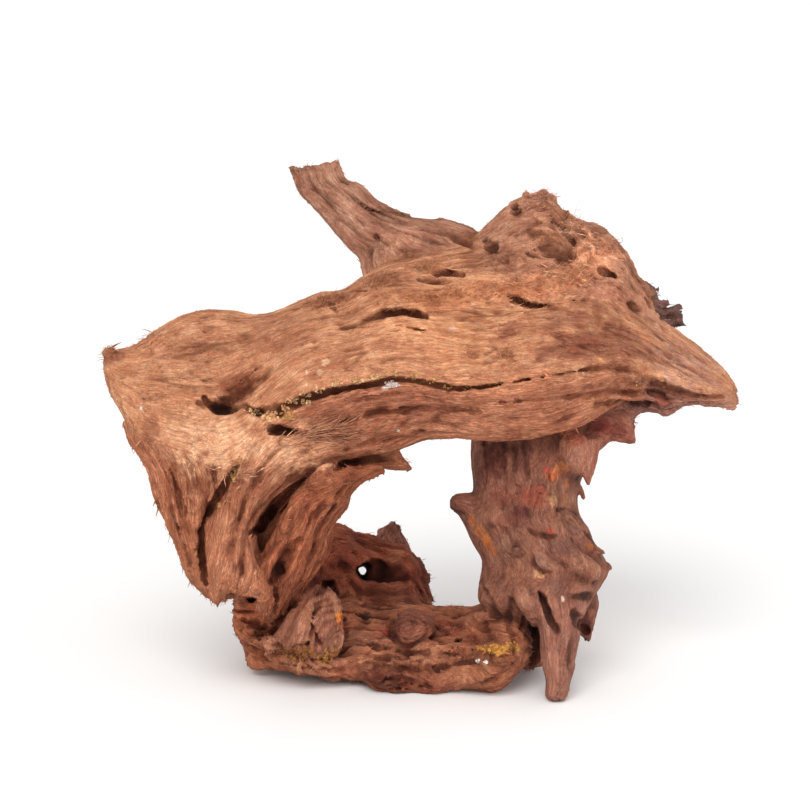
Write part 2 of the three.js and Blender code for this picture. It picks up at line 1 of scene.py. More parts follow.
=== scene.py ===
"""Looks of the root wood cave: every CAD limb is replaced by a carved, fibrous wood piece of the same shape.

The limbs' sections are the CAD model's own, in millimetres. They are swept again at a finer step, joined into one
distance field, carved (shakes, hollows, pockets, knots), roughened along each limb's own grain, and cut apart
again into one closed mesh per CAD node.
"""
import json
import math
import time
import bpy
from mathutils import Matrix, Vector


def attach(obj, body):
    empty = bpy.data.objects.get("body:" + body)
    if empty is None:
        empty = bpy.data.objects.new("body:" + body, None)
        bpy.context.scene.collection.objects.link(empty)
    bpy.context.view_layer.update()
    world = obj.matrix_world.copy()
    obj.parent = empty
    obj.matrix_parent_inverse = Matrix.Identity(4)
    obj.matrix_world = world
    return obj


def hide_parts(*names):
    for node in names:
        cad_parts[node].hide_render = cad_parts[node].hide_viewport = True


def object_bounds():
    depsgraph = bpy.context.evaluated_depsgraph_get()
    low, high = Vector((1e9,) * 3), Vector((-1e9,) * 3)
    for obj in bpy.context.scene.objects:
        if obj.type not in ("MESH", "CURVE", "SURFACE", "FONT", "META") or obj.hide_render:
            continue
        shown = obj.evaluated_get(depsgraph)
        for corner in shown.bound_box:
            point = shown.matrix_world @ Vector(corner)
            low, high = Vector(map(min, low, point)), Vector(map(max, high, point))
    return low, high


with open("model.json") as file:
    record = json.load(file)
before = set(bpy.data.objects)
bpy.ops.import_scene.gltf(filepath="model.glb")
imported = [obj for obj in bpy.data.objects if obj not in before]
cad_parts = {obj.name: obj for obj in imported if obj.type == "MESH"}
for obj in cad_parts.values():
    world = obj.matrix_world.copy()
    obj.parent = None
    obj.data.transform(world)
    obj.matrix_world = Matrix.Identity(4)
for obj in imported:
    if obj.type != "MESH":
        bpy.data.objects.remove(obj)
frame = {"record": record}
from concurrent.futures import ThreadPoolExecutor

import bpy
import numpy as np
import openvdb as vdb

T0 = time.time()
CAD_BOX = [list(map(float, c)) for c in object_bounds()]
H = 1.15  # voxel, mm
F = np.float32


def log(*a):
    print(f"[{time.time() - T0:6.1f}s]", *a, flush=True)


# ------------------------------------------------------------------ limbs
LEAN = math.radians(12)
DEPTH = np.array([0, math.cos(LEAN), -math.sin(LEAN)])
# rim A xyz, rim B xyz, front bulge, back bulge
LIMBS = {
    "crown_slab": ((0.85, 0.8), [
        (-187.1, -36.4, 199.5, -186.3, -39.8, 193, 3, 3),
        (-184.4, -34.3, 199.7, -182.9, -46.5, 180.6, 8, 9),
        (-175.5, -30.4, 198.9, -177.7, -54.1, 169.2, 12, 13),
        (-165.4, -25.6, 202.2, -166.7, -61.6, 157.7, 14, 15),
        (-153.4, -19.7, 210.7, -151.2, -67.7, 148.5, 16, 17),
        (-140.7, -14.4, 216.4, -134.3, -71.9, 142.9, 17, 19),
        (-129.2, -9.8, 218.6, -120.4, -73.7, 139.2, 18, 20),
        (-115.7, -7.9, 218.2, -106.6, -73.2, 141.5, 19, 22),
        (-101.6, -6.3, 216.2, -94, -68.9, 152.3, 19, 23),
        (-87.4, -4.2, 216.4, -82.5, -66.1, 165.3, 19, 24),
        (-73.2, 1.2, 222.1, -71, -64.5, 173.1, 20, 24),
        (-60.2, 6.2, 226.7, -58.3, -63.5, 177.6, 20, 26),
        (-46.5, 10.7, 228.4, -45.1, -62.8, 181, 20, 28),
        (-32.8, 18.4, 235.7, -30.7, -62.3, 183.3, 20, 30),
        (-16.5, 23.8, 242.2, -16.3, -62.1, 184.4, 20, 30),
        (-1.4, 28.5, 245.2, -1.9, -62.3, 183.3, 20, 30),
        (13.8, 33.3, 248.1, 12.6, -60.8, 180.6, 20, 30),
        (29.1, 35.7, 250.2, 27, -59.1, 179.1, 20, 30),
        (47.3, 33.3, 248.1, 44.4, -56.9, 179.8, 20, 30),
        (65.4, 31, 247.2, 61.9, -54.2, 182.8, 20, 30),
        (83.5, 28.3, 244, 79.4, -52, 183.5, 20, 30),
        (101.4, 23.1, 238.7, 96.9, -49.6, 185.4, 19, 28),
        (116.2, 17.4, 231, 111.8, -45.4, 185.8, 17, 26),
        (128.5, 11.1, 221.1, 124.4, -41.7, 183.8, 15, 22),
        (141.3, 5, 211.2, 135.9, -38.8, 178.5, 13, 18),
        (152.3, -0.4, 205.4, 148, -35.6, 174.2, 11, 14),
        (165.6, -6.4, 196.2, 160, -34.1, 171.5, 9, 12),
        (176.6, -10.5, 186.7, 170.9, -32.4, 170, 7, 9),
        (184.1, -14.4, 177.7, 179.4, -30.6, 169, 5, 6),
        (186.6, -19.7, 172.1, 184.9, -28.8, 168, 2, 2),
    ]),
    "crown_burl": ((1, 1), [
        (29.1, 37.7, 249.9, 30.2, 32.2, 243.4, 5, 6),
        (34.1, 40.9, 255, 36, 20.8, 237.8, 12, 14),
        (43.9, 45.1, 265.5, 44.1, 9.4, 232.3, 16, 20),
        (52.5, 49, 274.2, 53.4, 0.3, 227.7, 20, 24),
        (63.6, 50, 279, 63.9, -4.4, 224.9, 22, 26),
        (77.6, 50, 279, 75.7, -7.1, 221.7, 22, 28),
        (86.7, 46.1, 270.3, 87.4, -9.6, 219.7, 22, 28),
        (100, 42.9, 264.6, 99.2, -12.3, 216.6, 22, 28),
        (113.7, 37.8, 259.7, 108.7, -13, 213.1, 20, 26),
        (124.3, 31.4, 249, 117.1, -11.8, 209.3, 18, 22),
        (131.8, 24.5, 236, 124.6, -8.6, 205.1, 14, 18),
        (137.5, 18.1, 224.8, 130.5, -2.5, 205.2, 8, 10),
        (135.9, 11.4, 212.5, 134.9, 6.4, 208.5, 2, 2),
    ]),
    "back_branch": ((1, 1), [
        (-64.8, 83.5, 292.3, -69.7, 82.3, 291.2, 2, 2),
        (-52.3, 84.6, 297.2, -81.5, 81.4, 291.9, 5, 6),
        (-49.8, 83.5, 292.3, -80.8, 78.5, 287.9, 9, 10),
        (-46, 81, 285.1, -77, 74.4, 278.4, 11, 12),
        (-37.9, 78.2, 281.7, -69.5, 70.6, 270.1, 13, 14),
        (-30.4, 74.9, 275.8, -61.3, 67, 262.5, 14, 15),
        (-22.3, 71.9, 271.2, -53.8, 62.2, 254.4, 15, 16),
        (-13.6, 68, 267.4, -45.7, 57.4, 246.4, 17, 18),
        (-1.2, 63.3, 264.3, -38.2, 52.1, 240.4, 18, 20),
        (15.4, 58.9, 263, -36.9, 44.3, 232.9, 20, 22),
        (31.3, 53.9, 258.7, -31.9, 36.1, 223, 20, 22),
        (36.7, 48.4, 252.1, -16.6, 26.3, 215.4, 16, 18),
        (38.4, 40.5, 244, 4.7, 25, 218.7, 7, 7),
    ]),
    "rear_stub": ((1, 1), [
        (124.7, 25.3, 229.7, 120.9, 19.5, 212.3, 5, 5),
        (134.6, 33.4, 229.6, 128.9, 26.6, 207.3, 9, 9),
        (142.1, 39.9, 221.8, 136.4, 33.5, 201.2, 10, 10),
        (145.8, 44.3, 213.6, 143.1, 39, 198.3, 9, 10),
        (151, 46.8, 210.7, 149.5, 41, 197.9, 8, 9),
        (156.7, 47.5, 209.3, 155.2, 43.1, 198.2, 7, 8),
        (161, 46.9, 206.3, 159, 44.6, 200.4, 3, 3),
    ]),
    "beak_under": ((1, 0.9), [
        (102.1, -28.8, 177.6, 102.3, -30, 162.2, 5, 8),
        (107.8, -31.2, 180.5, 108.1, -31.2, 161.3, 8, 16),
        (114.9, -30, 181.5, 115.1, -31.5, 164.9, 9, 20),
        (122, -30, 181.5, 123.3, -32.4, 160.3, 9, 20),
        (130.9, -29, 181.3, 131.7, -30.8, 163, 9, 20),
        (136.8, -29.2, 180.1, 138.3, -30.1, 161.6, 9, 20),
        (142.2, -28.8, 177.6, 143, -30.6, 159.3, 8, 18),
        (149.3, -29.2, 175.3, 149.5, -29.9, 162.8, 7, 16),
        (157.6, -28.5, 174, 157.9, -28.3, 165.5, 6, 13),
        (167.2, -27.8, 172.6, 167.5, -27.4, 164.7, 5, 10),
        (175.6, -27, 171.2, 175.7, -27.8, 162.9, 4, 8),
        (182.2, -26.3, 169.9, 182.8, -28, 161.8, 3, 5),
        (185.8, -26.7, 168.1, 186.4, -27.8, 162.9, 1, 1),
    ]),
    "front_band": ((0.85, 0.75), [
        (131.2, -43.7, 184.2, 132, -43.2, 177, 1.5, 2),
        (126.6, -43, 187.7, 127.3, -44.2, 172.4, 5, 7),
        (120.7, -42.3, 191.1, 122.1, -44.4, 171.3, 8, 12),
        (110.1, -44, 192.6, 111.4, -47.2, 167.7, 9, 16),
        (97, -47.4, 190.9, 98.4, -50.8, 160.7, 10, 20),
        (82.3, -50.6, 190.4, 82.6, -54.2, 154.3, 11, 24),
        (67.7, -52.8, 189.6, 68, -56, 150.5, 12, 28),
        (50.2, -55, 188.9, 51.6, -57.2, 149.6, 12, 28),
        (32.8, -57.2, 188.1, 33, -58.1, 150.4, 12, 26),
        (15.5, -58.9, 189.6, 15.6, -58.8, 151.8, 12, 24),
        (-1.8, -58.4, 191.9, 1.1, -60, 150.9, 12, 22),
        (-16.3, -59.4, 192.1, -12.2, -62.1, 146, 12, 22),
        (-30.7, -60.9, 190, -23.8, -63.6, 143.4, 12, 20),
        (-45.1, -61.6, 186.7, -37.1, -65.2, 140.8, 12, 20),
        (-60.6, -62.6, 182.2, -51.5, -66.7, 138.7, 12, 19),
        (-76.7, -63.8, 176.5, -67.7, -69.1, 132.2, 12, 18),
        (-91.7, -65.4, 168.6, -79.8, -70.6, 124.8, 12, 17),
        (-102.1, -67.8, 157.4, -89.1, -72.4, 116.4, 12, 16),
        (-107.8, -70.5, 145, -94.9, -73.5, 106.5, 12, 15),
        (-112.5, -72.6, 130.1, -96.7, -75, 94.9, 12, 14),
        (-117.2, -75.2, 112.9, -95, -76.2, 84.5, 12, 14),
        (-120.8, -76.6, 96.6, -92.2, -77.6, 72.9, 12, 13),
        (-123.3, -77.6, 82.5, -94, -78.3, 64.7, 11, 12),
        (-123.9, -79, 70.9, -100.4, -78.1, 61, 8, 9),
        (-122.3, -79.5, 63.8, -110.3, -78.3, 59.9, 4, 5),
        (-119.5, -79.5, 59, -116.6, -79.6, 58.5, 1, 1),
    ]),
    "outer_wing": ((1, 0.9), [
        (-175.5, -48.9, 159.7, -109.5, -61, 151.1, 3, 4),
        (-173.9, -53.9, 155.4, -103.5, -66.3, 145.2, 9, 11),
        (-170.6, -59.1, 150.1, -105.5, -71.5, 139.9, 12, 13),
        (-165.6, -63.2, 145.6, -105.8, -69.2, 131.6, 12, 13),
        (-159.3, -65.3, 135.5, -108.5, -65.8, 118.9, 12, 13),
        (-156.4, -68.2, 121.9, -111.6, -65, 107.9, 11, 13),
        (-153.6, -69.6, 110.3, -114.6, -66.3, 97.4, 11, 12),
        (-148.4, -71.2, 98.1, -117, -67.5, 86.9, 10, 12),
        (-143.3, -72.7, 86.5, -118.2, -69.4, 77.8, 9, 11),
        (-138.7, -74.8, 76.3, -120.4, -72.3, 69, 8, 9),
        (-133.5, -76.6, 67.8, -124.3, -76.3, 64.7, 5, 6),
        (-126.4, -78.7, 63, -124.7, -79, 61.3, 1, 1),
    ]),
    "arch_spur": ((1, 1), [
        (-104.8, -60.2, 77.7, -90.8, -59.5, 71.4, 2, 3),
        (-107, -58.9, 93.6, -86, -60, 83.6, 4, 9),
        (-102.3, -56.6, 109.3, -78.9, -58.5, 95.4, 5, 11),
        (-94, -54.9, 122.1, -70.7, -57.3, 105.9, 5, 11),
        (-81.1, -53.9, 131.5, -62.5, -56.3, 115.3, 5, 11),
        (-67.1, -53.5, 138, -54.3, -56, 121.8, 6, 11),
        (-52.4, -54.8, 141.9, -45.5, -55.7, 127.8, 6, 11),
        (-39.6, -56.5, 143.5, -36.1, -56.9, 131.6, 6, 10),
        (-26.2, -58.4, 143.9, -25, -58.6, 133.3, 5, 8),
        (-16.3, -58.8, 142.2, -16.9, -58.8, 132.7, 3.5, 5),
        (-11.7, -59.6, 138.3, -11.7, -59.7, 132.9, 2, 2.5),
        (-7.6, -59.6, 133.5, -7.6, -59.8, 132.4, 0.5, 0.5),
    ]),
    "inner_flank": ((1, 1), [
        (-21.4, -72, 137.6, -20.9, -72.7, 134.3, 1.5, 1.5),
        (-28.3, -72.5, 140.1, -28.4, -71.4, 131, 5, 6),
        (-37.6, -72.9, 138.4, -36.5, -70.2, 127.1, 9, 10),
        (-46.8, -73.5, 135.6, -42.3, -69.7, 119.8, 12, 12),
        (-54.9, -73.5, 130.9, -43, -66.9, 113.8, 13, 14),
        (-63, -73.6, 125.6, -50, -65, 103.1, 14, 16),
        (-71.1, -73.5, 120.8, -51.9, -62.4, 96.4, 15, 18),
        (-78.6, -74, 113.8, -54.4, -60.1, 87.9, 16, 20),
        (-85, -75, 104.5, -56.8, -57.8, 79.4, 16, 22),
        (-90.3, -76.2, 94.1, -60.5, -55.4, 71.4, 16, 22),
        (-93.2, -77.4, 83.6, -65.3, -55, 64, 16, 22),
        (-94.5, -77.4, 74, -71.2, -54.5, 56.5, 15, 22),
        (-96.2, -69.7, 62.2, -76.2, -50.2, 47.9, 14, 22),
        (-98, -61.7, 51.3, -81.2, -46.2, 38, 12, 18),
        (-97.2, -57.4, 42.7, -87.3, -45.5, 31.6, 4, 6),
    ]),
    "right_column": ((1, 1), [
        (43.9, -4.2, 197, 96.6, -1.5, 200.1, 6, 8),
        (36.6, -8.4, 186.9, 101.3, -5.4, 191.2, 18, 22),
        (33.1, -11.9, 170.5, 104.7, -11.1, 174, 24, 28),
        (28.3, -15.8, 151.8, 105.9, -15.1, 155.3, 28, 30),
        (28.3, -19.1, 136.7, 102.9, -18.8, 137.8, 30, 32),
        (28.9, -21.8, 123.8, 98.1, -21.5, 125, 31, 33),
        (29.5, -24, 113.3, 93.9, -23.7, 115.1, 31, 33),
        (28.3, -26.7, 105.4, 92.1, -26.5, 106.6, 31, 33),
        (24.1, -29.4, 97.5, 93.8, -29.2, 98.6, 31, 33),
        (26.4, -33.2, 89.2, 99, -32.9, 91, 31, 33),
        (31.1, -37, 81, 103, -36.9, 81.6, 31, 34),
        (34.6, -39.7, 73.2, 107.1, -39.2, 75.5, 31, 34),
        (34, -42.3, 65.9, 110.6, -41.9, 67.6, 30, 31),
        (32.2, -45, 58, 107.5, -44.5, 60.4, 28, 27),
        (32.2, -47.7, 50.2, 100.4, -47.2, 52.5, 24, 21),
        (39.9, -49.3, 42.7, 90.3, -48.8, 45, 16, 14),
        (45.8, -50.7, 35.7, 80.2, -50.4, 37.4, 6, 8),
    ]),
    "column_knob": ((1, 1), [
        (41.3, -28.7, 110.8, 42.5, -32.9, 91, 8, 8),
        (31.7, -30.7, 110.7, 32.9, -35, 90.3, 12, 12),
        (25.1, -31.4, 112.1, 25.7, -34.9, 95.8, 10, 10),
        (19.8, -32.5, 111.8, 19.8, -35, 100.1, 8, 8),
        (16.8, -32.9, 110, 16.8, -34.5, 102.5, 5, 5),
        (15.6, -33.4, 107.7, 15.6, -34, 104.8, 1, 1),
    ]),
    "column_fin": ((1, 1), [
        (95.5, -24.6, 168.3, 98.3, -25.4, 135.7, 9, 9),
        (104.8, -26.6, 168.7, 106.4, -27, 137.9, 9, 9),
        (113, -28, 166.6, 112.2, -28.2, 141.8, 7, 8),
        (119.5, -28.9, 162.6, 118.6, -29.3, 141.5, 5, 6),
        (123, -29.7, 158.5, 123.9, -30.4, 141.1, 3.5, 4),
        (125.5, -30.5, 150.2, 126.8, -31.2, 141.9, 1, 1),
    ]),
    "column_splinter": ((1, 1), [
        (90.7, -38.3, 147.1, 106.3, -34.2, 147.4, 5, 8),
        (91.2, -41.4, 137.6, 103.9, -37.1, 138.4, 6, 8),
        (92.4, -43.2, 129, 102, -40, 129.4, 5, 6),
        (94.8, -43.4, 123, 100.2, -42.2, 123.9, 3, 3),
        (96.7, -43.3, 118.7, 97.8, -43.3, 118.7, 0.6, 0.6),
    ]),
    "front_foot": ((1, 1), [
        (61.8, -56.9, 64.5, 98.7, -51.3, 61.7, 8, 12),
        (64.6, -62.7, 56.5, 98.5, -56.2, 53.3, 14, 16),
        (66.7, -68, 45.9, 95.3, -61.3, 43.8, 16, 16),
        (67.8, -72.1, 36.2, 92.8, -65.6, 32.9, 15, 15),
        (67.8, -75, 27.3, 90.4, -69.6, 23.8, 14, 14),
        (68.9, -77.9, 18.5, 88.5, -73.4, 15.8, 13, 13),
        (70.6, -79.6, 10.5, 86, -76.7, 9.6, 12, 12),
        (70.6, -80.9, 4.2, 84.8, -78, 3.8, 11, 11),
        (71.8, -80.7, 0.5, 83.6, -79.6, 0.7, 9, 9),
        (74.2, -81.2, -1.8, 80.7, -80.3, -2.1, 4, 4),
    ]),
    "side_hook": ((1, 1), [
        (85.1, -44.4, 56, 88.6, -46.1, 47.9, 6, 8),
        (96, -41.4, 55.8, 91.8, -44.1, 43, 9, 10),
        (103.3, -38.7, 53.7, 92.6, -41.8, 39.2, 9, 10),
        (105.3, -38.3, 46.2, 91.4, -42.3, 36.8, 8, 9),
        (103.5, -39.9, 38.6, 90.8, -42.9, 33.9, 7, 8),
        (101.7, -41.5, 31, 92, -43.8, 29.8, 6, 6),
        (100.5, -42.5, 26.3, 95.1, -43.5, 26.6, 4, 4),
        (99.3, -43.1, 23.4, 98.1, -43.1, 23.4, 1, 1),
    ]),
    "rear_strut": ((1, 1), [
        (46.6, -26.1, 55.7, 87.4, -26.1, 55.7, 12, 14),
        (49.1, -25.4, 44.2, 84.6, -25.4, 44.2, 15, 17),
        (51, -25.3, 30.4, 81.2, -25.3, 30.4, 14, 16),
        (53.5, -26.3, 16.2, 78.9, -26.3, 16.2, 14, 16),
        (55.9, -28.4, 6.2, 76.5, -28.1, 7.4, 10, 12),
        (59.6, -29.5, 0.9, 72.9, -29.1, 2.6, 2, 3),
    ]),
    "base_root": ((0.95, 0.95), [
        (-114.8, -15.1, 39.9, -115.9, -19.5, 28.6, 4, 5),
        (-111.3, -12, 44.7, -108.8, -28.7, 14.5, 13, 16),
        (-103.6, -7.7, 46, -103.1, -35, 3.9, 20, 24),
        (-91.6, -5.9, 44.8, -90.3, -39.2, 3.4, 24, 28),
        (-77.8, -0.6, 40.7, -76.9, -43.2, 4.1, 26, 32),
        (-62.7, 5.2, 39, -61.2, -47.6, 2.4, 27, 33),
        (-47.5, 9, 37.9, -46.2, -51.9, 1.3, 27, 32),
        (-32.1, 10.8, 36.7, -31.3, -54.8, 2.3, 27, 32),
        (-16.7, 8.5, 35.5, -16.4, -58.1, 0.9, 27, 32),
        (-1.3, 2.1, 34.2, -1.6, -60.2, 1, 27, 32),
        (13.9, -8, 34.7, 13.1, -62.1, 1.6, 27, 31),
        (28.8, -21.6, 38.1, 27.9, -64.2, 1.1, 27, 30),
        (40.3, -36.5, 45, 40.8, -65.6, -0.3, 26, 28),
        (50.9, -40.6, 45, 51.4, -65.5, 4.6, 22, 24),
        (59, -45.4, 41.5, 57.9, -64.2, 10.9, 16, 18),
        (63.6, -51.2, 33.4, 63.3, -62, 16.4, 8, 9),
        (65.3, -54.6, 27, 65.1, -58.5, 23.3, 1.5, 1.5),
    ]),
    "base_burl": ((1, 1), [
        (-65.6, -47.7, 59.4, -56.1, -45.8, 58.9, 2, 3),
        (-72.5, -53.1, 53.6, -52.5, -48.8, 54.2, 8, 12),
        (-78.2, -58.9, 45.6, -49.5, -52.7, 45.5, 11, 16),
        (-85.1, -63.7, 37.2, -47.1, -58, 35.4, 12, 18),
        (-91.6, -65.5, 28.6, -48.2, -60.9, 26.5, 11, 16),
        (-93, -63.2, 20.5, -53.6, -59.7, 17.5, 8, 12),
        (-85.5, -61.3, 14.9, -63.2, -57.8, 12, 2, 3),
    ]),
    "cut_stub": ((1, 1), [
        (-17.6, -44.4, 36.8, -16.5, -46, 29.3, 2, 4),
        (-15.3, -45.3, 42.1, -12.9, -54.8, 26.4, 8, 14),
        (-8.7, -45.9, 44.1, -7.5, -57.2, 24.7, 10, 18),
        (-1.6, -45.1, 43.2, -0.4, -54.6, 27, 10, 18),
        (3.8, -43.7, 39.8, 4.9, -50.2, 28.7, 7, 12),
        (8, -41.9, 34.2, 8.6, -43.8, 29.8, 1.5, 2),
    ]),
    "rear_root": ((1, 1), [
        (-75.4, 19.2, 56.8, -73.1, 15.6, 20.5, 5, 8),
        (-68.2, 26.1, 70.3, -65.9, 19, 7.8, 16, 14),
        (-59.6, 31.3, 75.3, -57.4, 23.2, -1.3, 24, 14),
        (-49.7, 33.1, 74.2, -48.1, 26.1, -6.8, 30, 16),
        (-39.8, 34.2, 70, -38.7, 27.6, -9.3, 34, 18),
        (-29.2, 35.3, 65.2, -27.5, 29.3, -11.1, 36, 18),
        (-18.6, 34.8, 62.8, -16.8, 29.3, -11.1, 36, 18),
        (-8.6, 34.5, 61.6, -7.4, 27.6, -9.3, 34, 18),
        (-1.8, 30.5, 52.3, 0.1, 24.3, -5.6, 28, 16),
        (2.6, 24.3, 42.5, 5.1, 19.6, 1.1, 20, 14),
        (6.2, 15.9, 32, 10, 13.2, 9.6, 11, 8),
        (11.1, 10.6, 25.9, 13.6, 10, 18.4, 2, 2),
    ]),
    "rear_spur": ((1, 1), [
        (-29.3, 39.4, 46, -6.7, 38.8, 43.5, 5, 5),
        (-30, 47, 53, -4.8, 46.6, 51.1, 8, 7),
        (-29.5, 57.4, 58.6, -8, 57, 56.8, 7, 6),
        (-26.4, 63.5, 63.5, -10.5, 62.9, 60.4, 6, 6),
        (-21.9, 65.3, 67, -12.4, 64.9, 65.1, 4.5, 4.5),
        (-19.4, 66.9, 69.8, -13, 66.8, 69.2, 1, 1),
    ]),
    "bark_sole": ((1, 1), [
        (-38.2, -62.4, 9.7, -38.3, -61.5, 4.5, 1.5, 2),
        (-33.5, -65.9, 12.7, -33.6, -62, 2.2, 5, 8),
        (-25.2, -67.6, 13.9, -25.3, -62.5, -0.1, 7, 14),
        (-15.8, -69.4, 15.1, -15.8, -64.9, -1.8, 8, 18),
        (-6.4, -69.7, 14, -6.4, -65.8, -1.5, 8, 18),
        (3, -70.3, 11.1, 3.1, -66.6, -0.6, 7, 16),
        (10.1, -69.8, 8.5, 10.1, -68.3, 1.2, 4, 8),
        (14.8, -69.4, 5.9, 14.8, -68.9, 3.3, 1, 1),
    ]),
}
# how softly each limb runs into the ones before it, mm
BLEND = {"crown_slab": 0, "crown_burl": 16, "back_branch": 11, "rear_stub": 5, "beak_under": 6, "front_band": 11, "outer_wing": 16, "arch_spur": 7, "inner_flank": 10, "right_column": 9, "column_knob": 9, "column_fin": 12, "column_splinter": 10, "front_foot": 12, "side_hook": 8, "rear_strut": 12, "base_root": 6, "base_burl": 9, "cut_stub": 4, "rear_root": 10, "rear_spur": 6, "bark_sole": 4}
AIM = (-10.50, -5.90, 160.10)  # what the front view looks at, mm


# ------------------------------------------------------------------ noise
_rs = np.random.RandomState(7)
_GRAD = _rs.normal(size=(4096, 3)).astype(F)
_GRAD /= np.linalg.norm(_GRAD, axis=1, keepdims=True)
_GRAD *= F(1.6)
POOL = ThreadPoolExecutor(4)


def _noise(p, seed):
    i = np.floor(p).astype(np.int32)
    f = p - i
    u = f * f * f * (f * (f * 6 - 15) + 10)
    hx = [(i[:, 0] + k) * np.int32(73856093) for k in (0, 1)]
    hy = [(i[:, 1] + k) * np.int32(19349663) for k in (0, 1)]
    hz = [(i[:, 2] + k) * np.int32(83492791) for k in (0, 1)]
    out = []
    for a in (0, 1):
        row = []
        for b in (0, 1):
            hab = hx[a] ^ hy[b]
            v = []
            for c in (0, 1):
                h = hab ^ hz[c]
                h = (h ^ (h >> 13) ^ np.int32(seed * 7919 + 13)) & 4095
                g = _GRAD[h]
                v.append(g[:, 0] * (f[:, 0] - a) + g[:, 1] * (f[:, 1] - b) + g[:, 2] * (f[:, 2] - c))
            row.append(v[0] + u[:, 2] * (v[1] - v[0]))
        out.append(row[0] + u[:, 1] * (row[1] - row[0]))
    return out[0] + u[:, 0] * (out[1] - out[0])


def noise(p, seed=0):
    """Gradient noise, about -1 to 1, at points of shape (n, 3)."""
    p = np.ascontiguousarray(p, F)
    n = len(p)
    if n < 40000:
        return _noise(p, seed) if n else np.zeros(0, F)
    cuts = np.linspace(0, n, 17).astype(int)
    with np.errstate(over="ignore"):
        return np.concatenate(list(POOL.map(lambda k: _noise(p[cuts[k] : cuts[k + 1]], seed), range(16))))


def fbm(p, seed=0, octaves=3, gain=0.5):
    s, a = 0, 1.0
    for o in range(octaves):
        s = s + a * noise(p * F(2.03**o) + F(17.3 * o), seed + o)
        a *= gain
    return s


def ridge(n):
    """1 on the zero lines of a noise, falling to 0 away from them."""
    return 1 - np.minimum(np.abs(n) * 2.2, 1)


def step(x, a, b):
    t = np.clip((x - a) / (b - a), 0, 1)
    return t * t * (3 - 2 * t)


# ------------------------------------------------------------------ sweep
def catmull(pts, t):
    """Centripetal Catmull-Rom through pts, at t from 0 to 1 counted in stations."""
    pts = np.asarray(pts, float)
    n = len(pts)
    pad = np.vstack([2 * pts[0] - pts[1], pts, 2 * pts[-1] - pts[-2]])
    x = np.clip(np.asarray(t, float), 0, 1) * (n - 1)
    i = np.minimum(x.astype(int), n - 2)
    w = (x - i)[:, None]
    p0, p1, p2, p3 = pad[i], pad[i + 1], pad[i + 2], pad[i + 3]
    d0, d1, d2 = (np.maximum(np.linalg.norm(b - a, axis=1), 1e-6)[:, None] ** 0.5 for a, b in ((p0, p1), (p1, p2), (p2, p3)))
    t1 = ((p1 - p0) / d0 - (p2 - p0) / (d0 + d1) + (p2 - p1) / d1) * d1
    t2 = ((p2 - p1) / d1 - (p3 - p1) / (d1 + d2) + (p3 - p2) / d2) * d1
    return p1 + t1 * w + (-3 * p1 + 3 * p2 - 2 * t1 - t2) * w**2 + (2 * p1 - 2 * p2 + t1 + t2) * w**3


